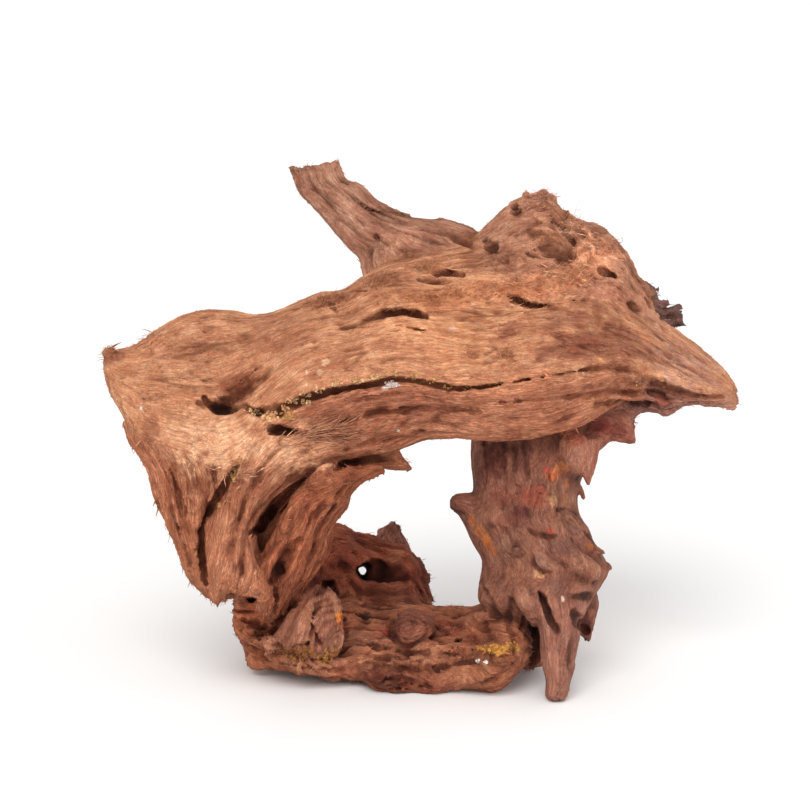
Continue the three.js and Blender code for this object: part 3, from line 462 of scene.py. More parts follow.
class Limb:
    def __init__(self, name, spec):
        self.name = name
        self.square = spec[0]
        self.st = np.array(spec[1], float)
        st = self.st
        bulge = np.column_stack([st[:, 6], st[:, 7], 10 * np.arange(len(st))])
        self.at = lambda t: (catmull(st[:, :3], t), catmull(st[:, 3:6], t), catmull(bulge, t)[:, :2])
        t = np.linspace(0, 1, 161)
        a, b, m = self.at(t)
        c = (a + b) / 2
        self.c = c
        d = np.gradient(c, axis=0)
        self.s = np.concatenate([[0], np.cumsum(np.linalg.norm(np.diff(c, axis=0), axis=1))])
        x = a - b
        self.half = np.maximum(np.linalg.norm(x, axis=1) / 2, 1.5)
        good = np.linalg.norm(x, axis=1) > 4
        k = np.arange(len(t))
        xn = x / np.maximum(np.linalg.norm(x, axis=1, keepdims=True), 1e-6)
        for j in range(3):
            xn[:, j] = np.interp(k, k[good], xn[good, j])
        ker = np.hanning(19)
        ker /= ker.sum()
        sm = lambda v: np.column_stack([np.convolve(np.pad(v[:, j], 9, mode="edge"), ker, "valid") for j in range(v.shape[1])])
        xn = sm(xn)
        xn /= np.linalg.norm(xn, axis=1, keepdims=True)
        self.x = xn
        self.n = np.cross(DEPTH, xn)
        self.n *= np.sign((self.n * d).sum(1))[:, None]
        self.n = sm(self.n)
        self.n /= np.linalg.norm(self.n, axis=1, keepdims=True)
        self.half_s = sm(self.half[:, None])[:, 0]
        self.width = float(np.quantile(self.half, 0.7))
        self.thick = np.maximum(sm(m).mean(1), 2)
        self.depth_mean = float(np.quantile(self.thick, 0.6))

    def mesh(self, sides=56):
        rings = int(min(220, max(24, self.s[-1] / 2.2)))
        t = np.arange(1, rings) / rings
        a, b, m = self.at(t)
        c = (a + b) / 2
        th = 2 * np.pi * np.arange(sides) / sides
        cv = lambda v, p: np.sign(v) * np.abs(v) ** p
        cx, sx = cv(np.cos(th), self.square[0]), cv(np.sin(th), self.square[1])
        p = c[:, None] + 0.5 * (a - b)[:, None] * cx[None, :, None]
        front = (np.sin(th) < 0)[None, :]
        deep = sx[None] * np.maximum(0.3, np.where(front, m[:, :1], m[:, 1:2]))
        p = p + DEPTH * deep[..., None]
        e0, e1 = (v.mean(0) for v in (np.array([self.st[0, :3], self.st[0, 3:6]]), np.array([self.st[-1, :3], self.st[-1, 3:6]])))
        v = np.vstack([p.reshape(-1, 3), e0, e1])
        n = len(t)
        i = np.arange(n - 1)[:, None] * sides + np.arange(sides)
        j = np.arange(n - 1)[:, None] * sides + (np.arange(sides) + 1) % sides
        q = np.stack([i, j, j + sides, i + sides], -1).reshape(-1, 4)
        tri = np.concatenate([q[:, [0, 1, 2]], q[:, [0, 2, 3]]])
        k = np.arange(sides)
        k1 = (k + 1) % sides
        tri = np.concatenate([tri, np.stack([np.full(sides, n * sides), k1, k], 1), np.stack([np.full(sides, n * sides + 1), (n - 1) * sides + k, (n - 1) * sides + k1], 1)])
        return v.astype(F), tri.astype(np.uint32)

    def coords(self, p):
        """Grain coordinates of points: along the limb, across it, and through it, in mm."""
        p = np.asarray(p, F)
        out = np.empty((len(p), 3), F)
        C, N, X = (v.astype(F) for v in (self.c, self.n, self.x))
        cn, cx = (C * N).sum(1), (C * X).sum(1)
        K = len(C)
        cell = 3.0
        lo = p.min(0) - cell
        dim = np.ceil((p.max(0) - lo) / cell).astype(int) + 2
        g = np.stack(np.meshgrid(*[lo[j] + cell * np.arange(dim[j]) for j in range(3)], indexing="ij"), -1).reshape(-1, 3).astype(F)
        res = np.empty((len(g), 3), F)
        for q0 in range(0, len(g), 60000):
            q = g[q0 : q0 + 60000]
            f = q @ N.T - cn
            dist = ((q[:, None] - C[None, ::8]) ** 2).sum(2)
            near = np.repeat(dist, 8, axis=1)[:, :K] if dist.shape[1] * 8 >= K else np.pad(np.repeat(dist, 8, axis=1), ((0, 0), (0, K - dist.shape[1] * 8)), mode="edge")
            cross = (f[:, :-1] >= 0) & (f[:, 1:] < 0)
            cost = np.where(cross, near[:, :-1], np.inf)
            k = cost.argmin(1)
            has = np.isfinite(cost[np.arange(len(q)), k])
            f0, f1 = f[np.arange(len(q)), k], f[np.arange(len(q)), np.minimum(k + 1, K - 1)]
            w = np.where(has, f0 / np.maximum(f0 - f1, 1e-6), 0)
            kk = k + w
            s = np.interp(kk, np.arange(K), self.s)
            start = ~has & (f[:, 0] < 0)
            end = ~has & (f[:, -1] >= 0) & ~start
            s = np.where(start, f[:, 0], s)
            kk = np.where(start, 0, kk)
            s = np.where(end, self.s[-1] + f[:, -1], s)
            kk = np.where(end, K - 1, kk)
            other = ~has & ~start & ~end
            if other.any():
                kn = near[other].argmin(1)
                kk[other] = kn
                s[other] = self.s[kn]
            ki = np.clip(kk, 0, K - 1)
            interp = lambda v: np.interp(ki, np.arange(K), v)
            cc = np.stack([interp(self.c[:, j]) for j in range(3)], 1)
            xx = np.stack([interp(self.x[:, j]) for j in range(3)], 1)
            rel = q - cc
            res[q0 : q0 + 60000, 0] = s
            res[q0 : q0 + 60000, 1] = (rel * xx).sum(1) / np.maximum(interp(self.half_s), 2.5) * self.width
            res[q0 : q0 + 60000, 2] = rel @ DEPTH
        res = res.reshape(*dim, 3)
        idx = (p - lo) / cell
        for j in range(3):
            out[:, j] = trilinear(res[..., j], idx)
        return out


def trilinear(a, idx):
    """Samples a 3-D array at fractional indices."""
    idx = np.asarray(idx, F)
    hi = np.array(a.shape) - 2
    i = np.clip(np.floor(idx).astype(np.int32), 0, hi)
    f = np.clip(idx - i, 0, 1)
    s1, s0 = a.shape[2], a.shape[1] * a.shape[2]
    flat = a.reshape(-1)
    b = i[:, 0].astype(np.int64) * s0 + i[:, 1] * s1 + i[:, 2]
    r = None
    for dx in (0, 1):
        wx = f[:, 0] if dx else 1 - f[:, 0]
        for dy in (0, 1):
            wxy = wx * (f[:, 1] if dy else 1 - f[:, 1])
            o = b + dx * s0 + dy * s1
            v = wxy * (flat[o] * (1 - f[:, 2]) + flat[o + 1] * f[:, 2])
            r = v if r is None else r + v
    return r


# ------------------------------------------------------------------ field
LO = np.floor(np.array(CAD_BOX[0]) * 1000 - 14)
HI = np.ceil(np.array(CAD_BOX[1]) * 1000 + 14)
DIM = tuple(int(v) for v in np.ceil((HI - LO) / H) + 1)
BAND = 13.0  # how far from a limb its distance is kept, mm
G = np.full(DIM, BAND, F)
M1 = np.full(DIM, BAND, F)
M2 = np.full(DIM, BAND, F)
ID = np.full(DIM, -1, np.int8)
limbs = [Limb(n, s) for n, s in LIMBS.items()]
LOCAL = []


def window(lo, hi):
    a = np.clip(np.floor((np.asarray(lo) - LO) / H).astype(int), 0, np.array(DIM) - 1)
    b = np.clip(np.ceil((np.asarray(hi) - LO) / H).astype(int) + 1, 1, DIM)
    return tuple(slice(int(x), int(y)) for x, y in zip(a, b))


def smin(a, b, k):
    if k <= 0:
        return np.minimum(a, b)
    h = np.maximum(k - np.abs(a - b), 0) / k
    return np.minimum(a, b) - h * h * h * (k / 6)


def points_in(win):
    ax = [(LO[j] + H * np.arange(win[j].start, win[j].stop)).astype(F) for j in range(3)]
    return np.stack(np.meshgrid(*ax, indexing="ij"), -1)


for n, limb in enumerate(limbs):
    v, tri = limb.mesh()
    tr = vdb.createLinearTransform(voxelSize=H)
    grid = vdb.FloatGrid.createLevelSetFromPolygons(((v - LO) ).astype(F), triangles=tri, transform=tr, halfWidth=BAND / H)
    win = window(v.min(0) - BAND, v.max(0) + BAND)
    d = np.empty(tuple(s.stop - s.start for s in win), F)
    grid.copyToArray(d, ijk=tuple(s.start for s in win))
    if np.median(d[[0, -1]]) < 0:
        d = -d
    LOCAL.append((win, d))
    G[win] = smin(G[win], d, BLEND.get(limb.name, 4.0))
    m1, m2, idn = M1[win], M2[win], ID[win]
    first = d < m1
    M2[win] = np.where(first, m1, np.minimum(m2, d))
    M1[win] = np.where(first, d, m1)
    idn[first] = n
log("limbs swept", DIM, "voxels", G.size / 1e6)
INDEX = {l.name: i for i, l in enumerate(limbs)}
G0 = None


# ------------------------------------------------------------------ placing things by where the front view sees them
EYE_AT = np.array(AIM)
EYE = EYE_AT - 1500 * DEPTH
UP = np.array([0, math.sin(LEAN), math.cos(LEAN)])


def rays(xh):
    xh = np.atleast_2d(np.asarray(xh, float))
    p = EYE_AT + xh[:, :1] * np.array([1.0, 0, 0]) + xh[:, 1:2] * UP
    d = p - EYE
    return p, d / np.linalg.norm(d, axis=1, keepdims=True)


def sample(a, p):
    return trilinear(a, (np.asarray(p) - LO) / H)


def hit(xh, field=None):
    """First surface points seen from the front at plane positions (x, h), in mm, and whether there was one."""
    field = G if field is None else field
    p, d = rays(xh)
    t = np.arange(-150, 150, 0.8)
    q = p[:, None] + d[:, None] * t[None, :, None]
    v = sample(field, q.reshape(-1, 3)).reshape(len(p), -1)
    inside = v < 0
    ok = inside.any(1)
    k = np.maximum(inside.argmax(1), 1)
    r = np.arange(len(p))
    v0, v1 = v[r, k - 1], v[r, k]
    w = np.clip(v0 / np.maximum(v0 - v1, 1e-6), 0, 1)
    return p + d * (t[k - 1] + w * 0.8)[:, None], ok


def along(path, gap=1.2):
    """A path's points (x, h, radius, depth ...) resampled every gap mm."""
    path = np.asarray(path, float)
    if len(path) == 1:
        return path
    s = np.concatenate([[0], np.cumsum(np.linalg.norm(np.diff(path[:, :2], axis=0), axis=1))])
    n = max(2, int(s[-1] / gap) + 1)
    u = np.linspace(0, s[-1], n)
    return np.column_stack([np.interp(u, s, path[:, j]) for j in range(path.shape[1])])


def capsule(win_points, a, b, ra, rb, squash=None):
    ab = b - a
    L = max(float(ab @ ab), 1e-9)
    rel = win_points - a.astype(F)
    t = np.clip((rel @ ab.astype(F)) / F(L), 0, 1)
    dist = np.sqrt(((rel - t[..., None] * ab.astype(F)) ** 2).sum(-1))
    return dist - (ra + (rb - ra) * t)
# ------------------------------------------------------------------ carving
def carve(path, k=1.5, field=None, rough=0.9):
    """Cuts a groove whose bottom lies the given depth under the surface. path: (x, h, radius, depth)."""
    pts = along(path)
    where, ok = hit(pts[:, :2], field)
    if not ok.any():
        return
    _, d = rays(pts[:, :2])
    r, depth = pts[ok, 2], pts[ok, 3]
    top, d = where[ok], d[ok]
    if len(top) > 2:
        ker = np.ones(3) / 3
        for j in range(3):
            top[1:-1, j] = np.convolve(top[:, j], ker, "valid")
    # open from the skin down to the bottom
    bottom = depth - r
    layers = int(max(1, np.ceil(np.max(np.maximum(bottom, 0) / (0.8 * r)))))
    for t in (np.arange(layers + 1) / layers if np.max(bottom) > 0.3 else [1.0]):
        at = np.where(bottom > 0, bottom * t, bottom)
        carve_through(top + d * at[:, None], r * (1.08 - 0.16 * t), k, rough)


def carve_through(c, r, k=1.5, rough=0.9):
    """Cuts a round groove along points c of radius r."""
    lo, hi = (c - r[:, None]).min(0) - 4, (c + r[:, None]).max(0) + 4
    win = window(lo, hi)
    p = points_in(win)
    best = np.full(p.shape[:3], 1e3, F)
    if len(c) == 1:
        c, r = np.repeat(c, 2, 0), np.repeat(r, 2)
    for a, b, ra, rb in zip(c[:-1], c[1:], r[:-1], r[1:]):
        w2 = window(np.minimum(a, b) - max(ra, rb) - 3, np.maximum(a, b) + max(ra, rb) + 3)
        loc = tuple(slice(max(x.start - y.start, 0), max(x.stop - y.start, 0)) for x, y in zip(w2, win))
        best[loc] = np.minimum(best[loc], capsule(p[loc], a, b, ra, rb))
    q = p.reshape(-1, 3)
    wob = (noise(q / F(6.5), 91) * F(rough) + noise(q / F(2.6), 92) * F(rough * 0.45)).reshape(p.shape[:3])
    G[win] = -smin(-G[win], best + wob, k)


def add(path, k=2.0, sink=0.3):
    """Raises a rib, knob or spike on the surface. path: (x, h, radius, how far the centre stands out)."""
    pts = along(path)
    where, ok = hit(pts[:, :2])
    if not ok.any():
        return
    if not ok.all():  # past the edge: keep the depth of the nearest point that meets the wood
        good = np.where(ok)[0]
        for i in np.where(~ok)[0]:
            j = good[np.abs(good - i).argmin()]
            p0, dj = rays(pts[i : i + 1, :2])
            w = (where[j] - EYE) @ DEPTH
            d0 = dj[0]
            where[i] = EYE + d0 * (w + 2.0) / (d0 @ DEPTH)
    _, d = rays(pts[:, :2])
    c = where - d * pts[:, 3][:, None]
    r = pts[:, 2]
    if len(c) == 1:
        c, r = np.repeat(c, 2, 0), np.repeat(r, 2)
    for a, b, ra, rb in zip(c[:-1], c[1:], r[:-1], r[1:]):
        win = window(np.minimum(a, b) - max(ra, rb) - 6, np.maximum(a, b) + max(ra, rb) + 6)
        G[win] = smin(G[win], capsule(points_in(win), a, b, ra, rb), k)


# grooves, hollows and holes: (x, h, radius, depth) along each, seen from the front, mm
CARVES = [
    ([(-94.2, -3.6, 1.4, 3), (-84, -3.6, 1.8, 5), (-75, -1.8, 2, 6), (-67.8, 0.6, 1.5, 5), (-60, 3.6, 2.1, 7), (-51, 6.6, 1.7, 6.5), (-43.2, 8.4, 2.1, 7), (-33, 10.2, 1.6, 6), (-21, 12, 1.9, 6.5), (-7.8, 15.6, 1.4, 5.4), (9, 13.8, 1.5, 5.2), (21, 11.4, 1.4, 5), (31.8, 9.6, 1.4, 4.5), (49.2, 10.8, 1.3, 4.4), (72, 15, 1.2, 4), (93, 18.6, 1.1, 4), (117, 22.8, 1.2, 3.2), (132, 22.2, 1.2, 2.6), (141.6, 19.2, 1.2, 1.8)], 0.6),
    ([(145.8, 14.4, 2.6, 4.6), (150.6, 12, 3.4, 6.8), (157.8, 9.6, 3.2, 6.2), (166.2, 7.2, 2.6, 4.4), (177, 4.8, 2, 2.6)], 1.2),
    ([(155.4, 14.4, 1.8, 4), (148.2, 15, 1.6, 4), (142.2, 15, 1.3, 3), (135, 15, 1.2, 1.4)], 0.7),
    ([(155.4, 6.6, 2.2, 4.5), (148.2, 7.2, 1.9, 5), (141, 7.8, 1.5, 4), (133.8, 8.4, 1.2, 2.4)], 0.7),
    ([(145.2, 11.1, 1.3, 5), (141, 11.1, 1.2, 4), (136.2, 11.4, 1.2, 2.4)], 0.6),
    ([(144.6, 6.6, 1.3, 5.5), (137.4, 6.6, 1.2, 4.5), (130.2, 7.5, 1.2, 3.5), (123.6, 8.4, 1.2, 2)], 0.6),
    ([(114.6, 0, 1, 2.5), (124.2, 1.2, 1.4, 4.5), (135, 0.9, 1.8, 6), (145.8, 0.6, 2, 6)], 0.7),
    ([(150, 55.8, 1.8, 5), (153.6, 51.6, 1.8, 5)], 0.8),
    ([(157.8, 54, 1.3, 4), (162, 52.2, 1.2, 4)], 0.7),
    ([(144.6, 63, 1.4, 4), (147, 59.4, 1.6, 4)], 0.8),
    ([(150, 12.6, 2.6, 4), (162, 7.2, 2.4, 4), (177, 4.8, 2, 3), (189, 4.2, 1.6, 2.4)], 1.5),
    ([(-87.6, -4.8, 2, 7)], 0.8),
    ([(-75, -4.2, 2.3, 8)], 0.8),
    ([(-81, -15, 2.6, 5), (-76.2, -15.6, 3.4, 8), (-70.8, -16.2, 2.8, 7), (-64.2, -16.8, 1.4, 3)], 1.0),
    ([(-81, 22.8, 2.4, 0.6), (-90.6, 15.6, 4.4, 1.4), (-99, 9.6, 6, 2.6), (-105, 4.2, 6, 4), (-110.4, 0, 5, 5.5)], 4.4),
    ([(-76.8, 23.4, 1.2, 0.8), (-89.4, 12.6, 1.5, 2.6), (-99, 3, 1.4, 3)], 0.9),
    ([(-85.2, 25.2, 1.2, 0.8), (-95.4, 16.2, 1.5, 2.4), (-105.6, 8.4, 1.4, 2.6)], 0.9),
    ([(-81.6, 22.2, 1.2, 0.8), (-93, 13.8, 1.4, 1.8), (-102.6, 4.8, 1.3, 2.4)], 0.9),
    ([(-97.2, 0, 1.5, 3.5), (-102.6, -3, 2.4, 7), (-108, -3.9, 3.2, 10), (-113.4, -2.4, 3, 9.5), (-117.6, 0.6, 2, 6.5), (-120.6, 4.2, 1.4, 3.5)], 1.1),
    ([(-97.2, 0, 1.2, 4), (-93, -2.4, 1.4, 5), (-89.4, -4.2, 1.4, 6)], 0.7),
    ([(-124.2, 1.8, 1.4, 2.5), (-120.6, -1.2, 1.6, 4)], 1.0),
    ([(-25.8, 50.4, 1.4, 2), (-18, 53.4, 2.4, 6), (-10.2, 55.2, 3, 10), (-1.8, 55.2, 3.2, 11), (6, 53.4, 3, 10), (12.6, 52.8, 1.6, 5)], 0.9),
    ([(-6, 47.4, 1.4, 3), (3, 46.2, 2, 6), (11.4, 44.4, 1.4, 4)], 1.0),
    ([(-40.2, 46.2, 1.2, 1), (-31.8, 47.4, 1.4, 2), (-22.2, 46.8, 1.2, 1.4)], 1.2),
    ([(-49.8, 65.4, 1.2, 2), (-45, 60.6, 1.6, 3.5), (-41.4, 57, 1.2, 2)], 0.9),
    ([(-31.8, 69, 1.2, 2), (-23.4, 67.8, 1.6, 3), (-15, 69, 1.2, 2)], 1.0),
    ([(150, 36, 1, 0.8), (171, 22.2, 1, 1.2), (186, 12, 0.8, 1)], 1.2),
    ([(18.6, 79.2, 1.4, 3), (25.8, 79.8, 2.2, 7), (34.2, 78, 1.6, 4)], 0.8),
    ([(9, 75.6, 1.6, 3), (17.4, 74.4, 2.2, 6), (27, 75, 1.4, 3)], 0.8),
    ([(61.8, 65.4, 1.2, 4), (66.6, 63, 2, 8), (72.6, 60.6, 2.1, 9), (79.8, 59.4, 1.6, 8), (86.4, 60, 1.2, 7), (94.2, 61.2, 1.3, 7), (102.6, 62.4, 1.2, 6), (108, 63, 0.8, 3)], 0.6),
    ([(48.6, 99, 2, 4.5), (52.2, 94.8, 2.4, 6.5)], 1.2),
    ([(65.4, 120, 2.8, 6), (67.2, 115.8, 3.2, 7)], 1.2),
    ([(119.4, 80.4, 2.4, 5), (124.8, 77.4, 2.6, 6)], 1.2),
    ([(136.2, 60.6, 2.2, 5), (139.8, 57.6, 1.8, 4)], 1.2),
    ([(79.8, 105.6, 6, 0.6), (84.6, 100.8, 9, 1.8), (90, 96, 10.5, 2.8), (94.8, 92.4, 8.5, 3.4), (98.4, 90.6, 5, 3.6)], 4.4),
    ([(78, 93.6, 1.2, 3), (80.4, 96, 1.3, 3.8), (82.8, 94.2, 1.2, 3.4)], 0.8),
    ([(104.4, 93.6, 3, 0.8), (107.4, 92.4, 3.2, 1)], 2.0),
    ([(78, 117.6, 1.3, 1.6), (82.8, 118.8, 1.5, 2.2), (87, 116.4, 1.3, 1.6)], 1.2),
    ([(96.6, 113.4, 1.3, 1.4), (102, 110.4, 1.4, 1.8)], 1.2),
    ([(28.2, 101.4, 3, 2.5), (34.2, 98.4, 3.4, 3.4), (40.2, 95.4, 2.4, 2)], 1.6),
    ([(6, 106.2, 1.6, 2), (21, 104.4, 2, 3), (31.8, 101.4, 1.4, 2)], 1.2),
    ([(-7.8, -32.4, 1.6, 2), (-17.4, -32.4, 2.4, 3.6), (-28.2, -33.6, 3, 5), (-37.8, -36, 3, 5), (-46.2, -39, 2, 2.6)], 1.3),
    ([(-63, -46.8, 1.3, 1.2), (-70.2, -53.4, 1.8, 2.6), (-76.8, -60.6, 2.2, 5.5), (-82.8, -67.2, 2.8, 9), (-87, -72.6, 3, 9.5), (-90.6, -76.8, 2.2, 8)], 1.0),
    ([(-100.2, -36.6, 1.5, 2.5), (-105, -42.6, 2.2, 4.5), (-109.8, -51, 2.4, 6), (-115.2, -59.4, 2.4, 7), (-120, -67.8, 2.4, 7.5), (-122.4, -76.2, 2.4, 7.5), (-122.4, -85.8, 2.3, 7.5), (-121.2, -96, 2.2, 7), (-119.4, -106.8, 1.7, 5)], 0.9),
    ([(-63.6, -80.4, 2.4, 1.6), (-67.8, -87, 3.4, 3.5), (-71.4, -93.6, 4.4, 6.5), (-75.6, -100.8, 4.8, 11), (-79.2, -105.6, 3, 8)], 1.6),
    ([(-97.2, -115.8, 2.6, 8), (-90.6, -116.4, 2.6, 7)], 1.0),
    ([(-104.4, -115.2, 1.8, 6), (-105, -119.4, 2.2, 8), (-103.8, -123, 1.6, 6)], 0.7),
    ([(-141, -39, 1.6, 1.2), (-136.2, -57, 2.2, 2.6), (-129, -75, 2, 2.4), (-123, -88.2, 1.4, 1.4)], 1.4),
    ([(-143.4, -57, 1.2, 1), (-139.8, -69, 1.4, 1.4), (-133.8, -84, 1.2, 1.4), (-129, -96, 1, 1)], 1.2),
    ([(-85.8, -39, 1.6, 1.4), (-95.4, -57, 2.2, 3), (-102.6, -75, 2.2, 3), (-105.6, -93, 1.6, 2)], 1.4),
    ([(-63, -39, 1.4, 1.2), (-77.4, -52.2, 2, 2.4), (-91.8, -69, 1.8, 2.6), (-96.6, -87, 1.6, 2), (-97.8, -102, 1.2, 1.4)], 1.2),
    ([(-45, -54, 1.6, 1.4), (-57, -69, 2.4, 3), (-63, -84, 1.8, 2)], 1.4),
    ([(-33, -45, 1.2, 1), (-42, -60, 1.8, 2.4), (-49.8, -75, 1.6, 2.4), (-57, -93, 1.4, 2), (-63, -108, 1.2, 1.6)], 1.2),
    ([(-36, 1.8, 1.2, 1), (-3, 7.8, 1.6, 1.8), (27, 6.6, 1.4, 1.4)], 1.2),
    ([(-45, -12, 1.4, 1.4), (-15, -4.2, 1.8, 2.4), (15, -1.8, 1.4, 1.6), (45, -4.2, 1.4, 1.4)], 1.3),
    ([(57, 1.8, 1, 1), (93, 4.2, 1.6, 2), (123, 7.8, 1.2, 1.4)], 1.2),
    ([(-36, -27, 1.2, 1.4), (-12, -19.8, 1.6, 2), (12, -15, 1.2, 1.2)], 1.2),
    ([(80.4, -112.2, 1.7, 5), (82.8, -117, 2.7, 8), (84.6, -122.4, 2.7, 8.5), (86.4, -127.2, 1.9, 7), (89.4, -132.6, 1.3, 5), (91.2, -136.2, 1.2, 3)], 0.7),
    ([(75, -131.4, 2, 6), (78, -137.4, 3.8, 9), (78.6, -144.6, 4.2, 9.5), (76.8, -150.6, 3.8, 9), (75, -156, 2.6, 7)], 1.0),
    ([(70.8, -133.2, 1.4, 4), (71.4, -127.2, 1.1, 2.6)], 0.8),
    ([(63.6, -131.4, 1.4, 3.5), (63, -124.2, 1, 2.2)], 0.8),
    ([(100.8, -125.4, 2.4, 7), (105, -129.6, 3.2, 10), (109.2, -135, 2.6, 9)], 1.0),
    ([(101.4, -115.2, 1.4, 3), (106.8, -114.6, 2.2, 5.5), (112.2, -115.8, 1.8, 5)], 1.0),
    ([(46.8, -22.2, 1.2, 1.2), (48.6, -36, 1.3, 1.6), (49.2, -49.8, 1.2, 1)], 0.9),
    ([(58.8, -22.2, 1.2, 1.2), (60, -34.2, 1.3, 1.6), (59.4, -45, 1.2, 1)], 0.9),
    ([(64.8, -23.4, 1.2, 1), (66, -39, 1.3, 1.4)], 0.9),
    ([(70.8, -22.2, 1.2, 1.6), (72, -33, 1.4, 1.8), (73.8, -43.8, 1.2, 1.2)], 1.2),
    ([(107.4, -75.6, 1.4, 3), (113.4, -81.6, 2, 5), (115.2, -85.8, 1.6, 4)], 0.9),
    ([(71.4, -85.2, 1.2, 1.3), (70.2, -89.4, 1.3, 1.6), (66.6, -91.2, 1.3, 1.6), (63, -88.8, 1.2, 1.4), (63.6, -84.6, 1.2, 1.3), (66.6, -82.8, 1.2, 1.3), (69.6, -83.4, 1.2, 1.2)], 0.6),
    ([(78.6, -66, 1.3, 0.8), (85.2, -63.6, 1.7, 1.6), (91.2, -63, 1.8, 1.8), (96.6, -62.4, 1.6, 1.5), (103.2, -65.4, 1.3, 0.8)], 1.2),
    ([(73.8, -75, 1.2, 1), (79.8, -77.4, 1.3, 1.6), (85.8, -79.2, 1.4, 2.4), (90.6, -78, 1.3, 1.8)], 0.8),
    ([(55.2, -70.8, 1.2, 0.8), (60, -76.2, 1.3, 1.6), (63, -81, 1.2, 1.2)], 0.9),
    ([(94.8, -94.8, 1.2, 1.8), (96.6, -97.2, 1.2, 1.4)], 0.6),
    ([(75.6, -90, 1.2, 1.4), (78, -96.6, 1.4, 2.4), (82.8, -100.8, 1.4, 2.4), (87.6, -100.2, 1.2, 1.4)], 0.8),
    ([(45, -105, 1.4, 1.6), (49.8, -115.8, 1.8, 3), (55.2, -126, 1.6, 3)], 1.2),
    ([(64.2, -117, 1.4, 1.6), (61.8, -132, 1.6, 2.6), (66.6, -144, 1.4, 2.4), (64.2, -154.2, 1.2, 1.6)], 1.2),
    ([(31.8, -142.2, 2.6, 10)], 0.6),
    ([(-52.2, -96.6, 2.6, 6), (-55.8, -102.6, 2.8, 6), (-60, -109.2, 2, 3.5), (-66.6, -117.6, 1.5, 2.5), (-71.4, -126, 1.5, 2.5)], 1.2),
    ([(-45, -106.8, 2, 6), (-52.2, -112.2, 2, 6)], 1.2),
    ([(-25.8, -125.4, 1.4, 3), (-22.8, -129, 1.6, 4)], 0.9),
    ([(-21.6, -144, 2, 4), (-19.2, -145.8, 1.8, 3.5)], 1.2),
    ([(42, -168.6, 1.2, 2), (51, -165, 1.8, 3.5), (60, -160.8, 1.4, 2.5)], 1.0),
    ([(-96, -127.8, 2.4, 4), (-85.8, -134.4, 2.6, 5), (-77.4, -136.2, 2.2, 5)], 1.5),
    ([(-99, -141, 1.6, 2), (-89.4, -147, 2.2, 3), (-78, -150, 1.8, 2.5)], 1.4),
    ([(-82.2, -150, 1.6, 3), (-69, -148.8, 1.8, 4), (-59.4, -150.6, 1.4, 3)], 1.0),
    ([(-63, -157.8, 1.4, 2), (-36, -159.6, 2, 3.2), (-9, -157.8, 2.2, 4), (15, -157.8, 2, 3.4), (39, -155.4, 1.4, 2)], 1.2),
    ([(-33, -153, 1.2, 1.4), (-12, -150.6, 1.6, 2.2), (15, -149.4, 1.4, 2)], 1.2),
    ([(-29.4, -157.8, 1.4, 3), (-16.2, -153, 1.9, 6), (-1.8, -151.8, 2.1, 7), (11.4, -154.2, 1.8, 6), (21, -160.2, 1.4, 4)], 0.9),
    ([(-19.8, -167.4, 1.3, 3), (-7.8, -162.6, 1.8, 6), (5.4, -163.8, 1.8, 6), (16.2, -169.8, 1.4, 4)], 0.8),
    ([(-12.6, -157.8, 1.1, 3), (-0.6, -157.2, 1.4, 5), (9, -159.6, 1.1, 4)], 0.7),
    ([(-4.2, -169.8, 1.2, 3), (3, -167.4, 1.4, 5), (9, -171, 1.2, 4)], 0.7),
    ([(18.6, -132, 1.6, 3), (25.8, -137.4, 1.8, 3)], 1.2),
    ([(37.8, -126.6, 1.6, 2.4), (46.2, -132.6, 2, 4), (52.2, -139.8, 1.8, 3.5)], 1.2),
    ([(21, -150, 1.2, 1.6), (39, -148.2, 1.6, 2.8), (57, -150, 1.4, 2.2)], 1.0),
    ([(-36, -124.2, 2.6, 1.8), (-12, -126.6, 3, 2)], 2.4),
    ([(-4.2, -148.2, 1.2, 2), (3, -150, 1.6, 3), (13.8, -147.6, 1.2, 2)], 1.0),
    ([(-8.4, -137.4, 1.2, 3.2), (-9, -132.6, 1.2, 3.2), (-6.6, -127.8, 1.2, 3.4), (-2.4, -125.4, 1.2, 3.4), (3, -124.8, 1.2, 3.4), (7.8, -126.6, 1.2, 3.4), (11.4, -129.6, 1.2, 3.2), (14.4, -134.4, 1.2, 3), (13.2, -138.6, 1.2, 3.2), (7.8, -141.6, 1.4, 3.8), (2.4, -145.2, 1.6, 4.5), (-2.4, -144, 1.4, 4), (-6, -141, 1.2, 3.4), (-8.4, -137.4, 1.2, 3.2)], 0.5),
    ([(-4.2, -136.2, 0.9, 2), (-4.8, -132.6, 0.9, 2), (-2.4, -129.6, 0.9, 2), (1.8, -128.4, 0.9, 2), (5.4, -130.2, 0.9, 2), (6.6, -133.8, 0.9, 1.8)], 0.5),
    ([(-0.6, -141.6, 0.9, 2), (3, -135.6, 1, 2.6), (7.2, -130.8, 0.9, 2)], 0.5),
    ([(-48, -115.2, 1.5, 1.8), (-51.6, -120, 1.8, 3), (-55.2, -126, 1.9, 3.4), (-56.4, -133.2, 1.8, 3), (-57.6, -139.2, 1.5, 1.6)], 1.0),
    ([(-68.4, -141.6, 1.3, 3), (-63, -144.6, 1.6, 4.5), (-57.6, -142.8, 1.4, 4)], 0.7),
    ([(-55.2, -133.8, 1.2, 3), (-53.4, -139.8, 1.5, 4.5), (-49.8, -144.6, 1.3, 3)], 0.7),
    ([(-66.6, -120.6, 1.6, 5), (-71.4, -125.4, 2, 7), (-75.6, -129.6, 2, 7), (-77.4, -134.4, 1.5, 5)], 0.8),
    ([(-39, -120.6, 1.4, 2.5), (-36.6, -129, 1.5, 2.5), (-35.4, -138.6, 1.4, 2)], 1.2),
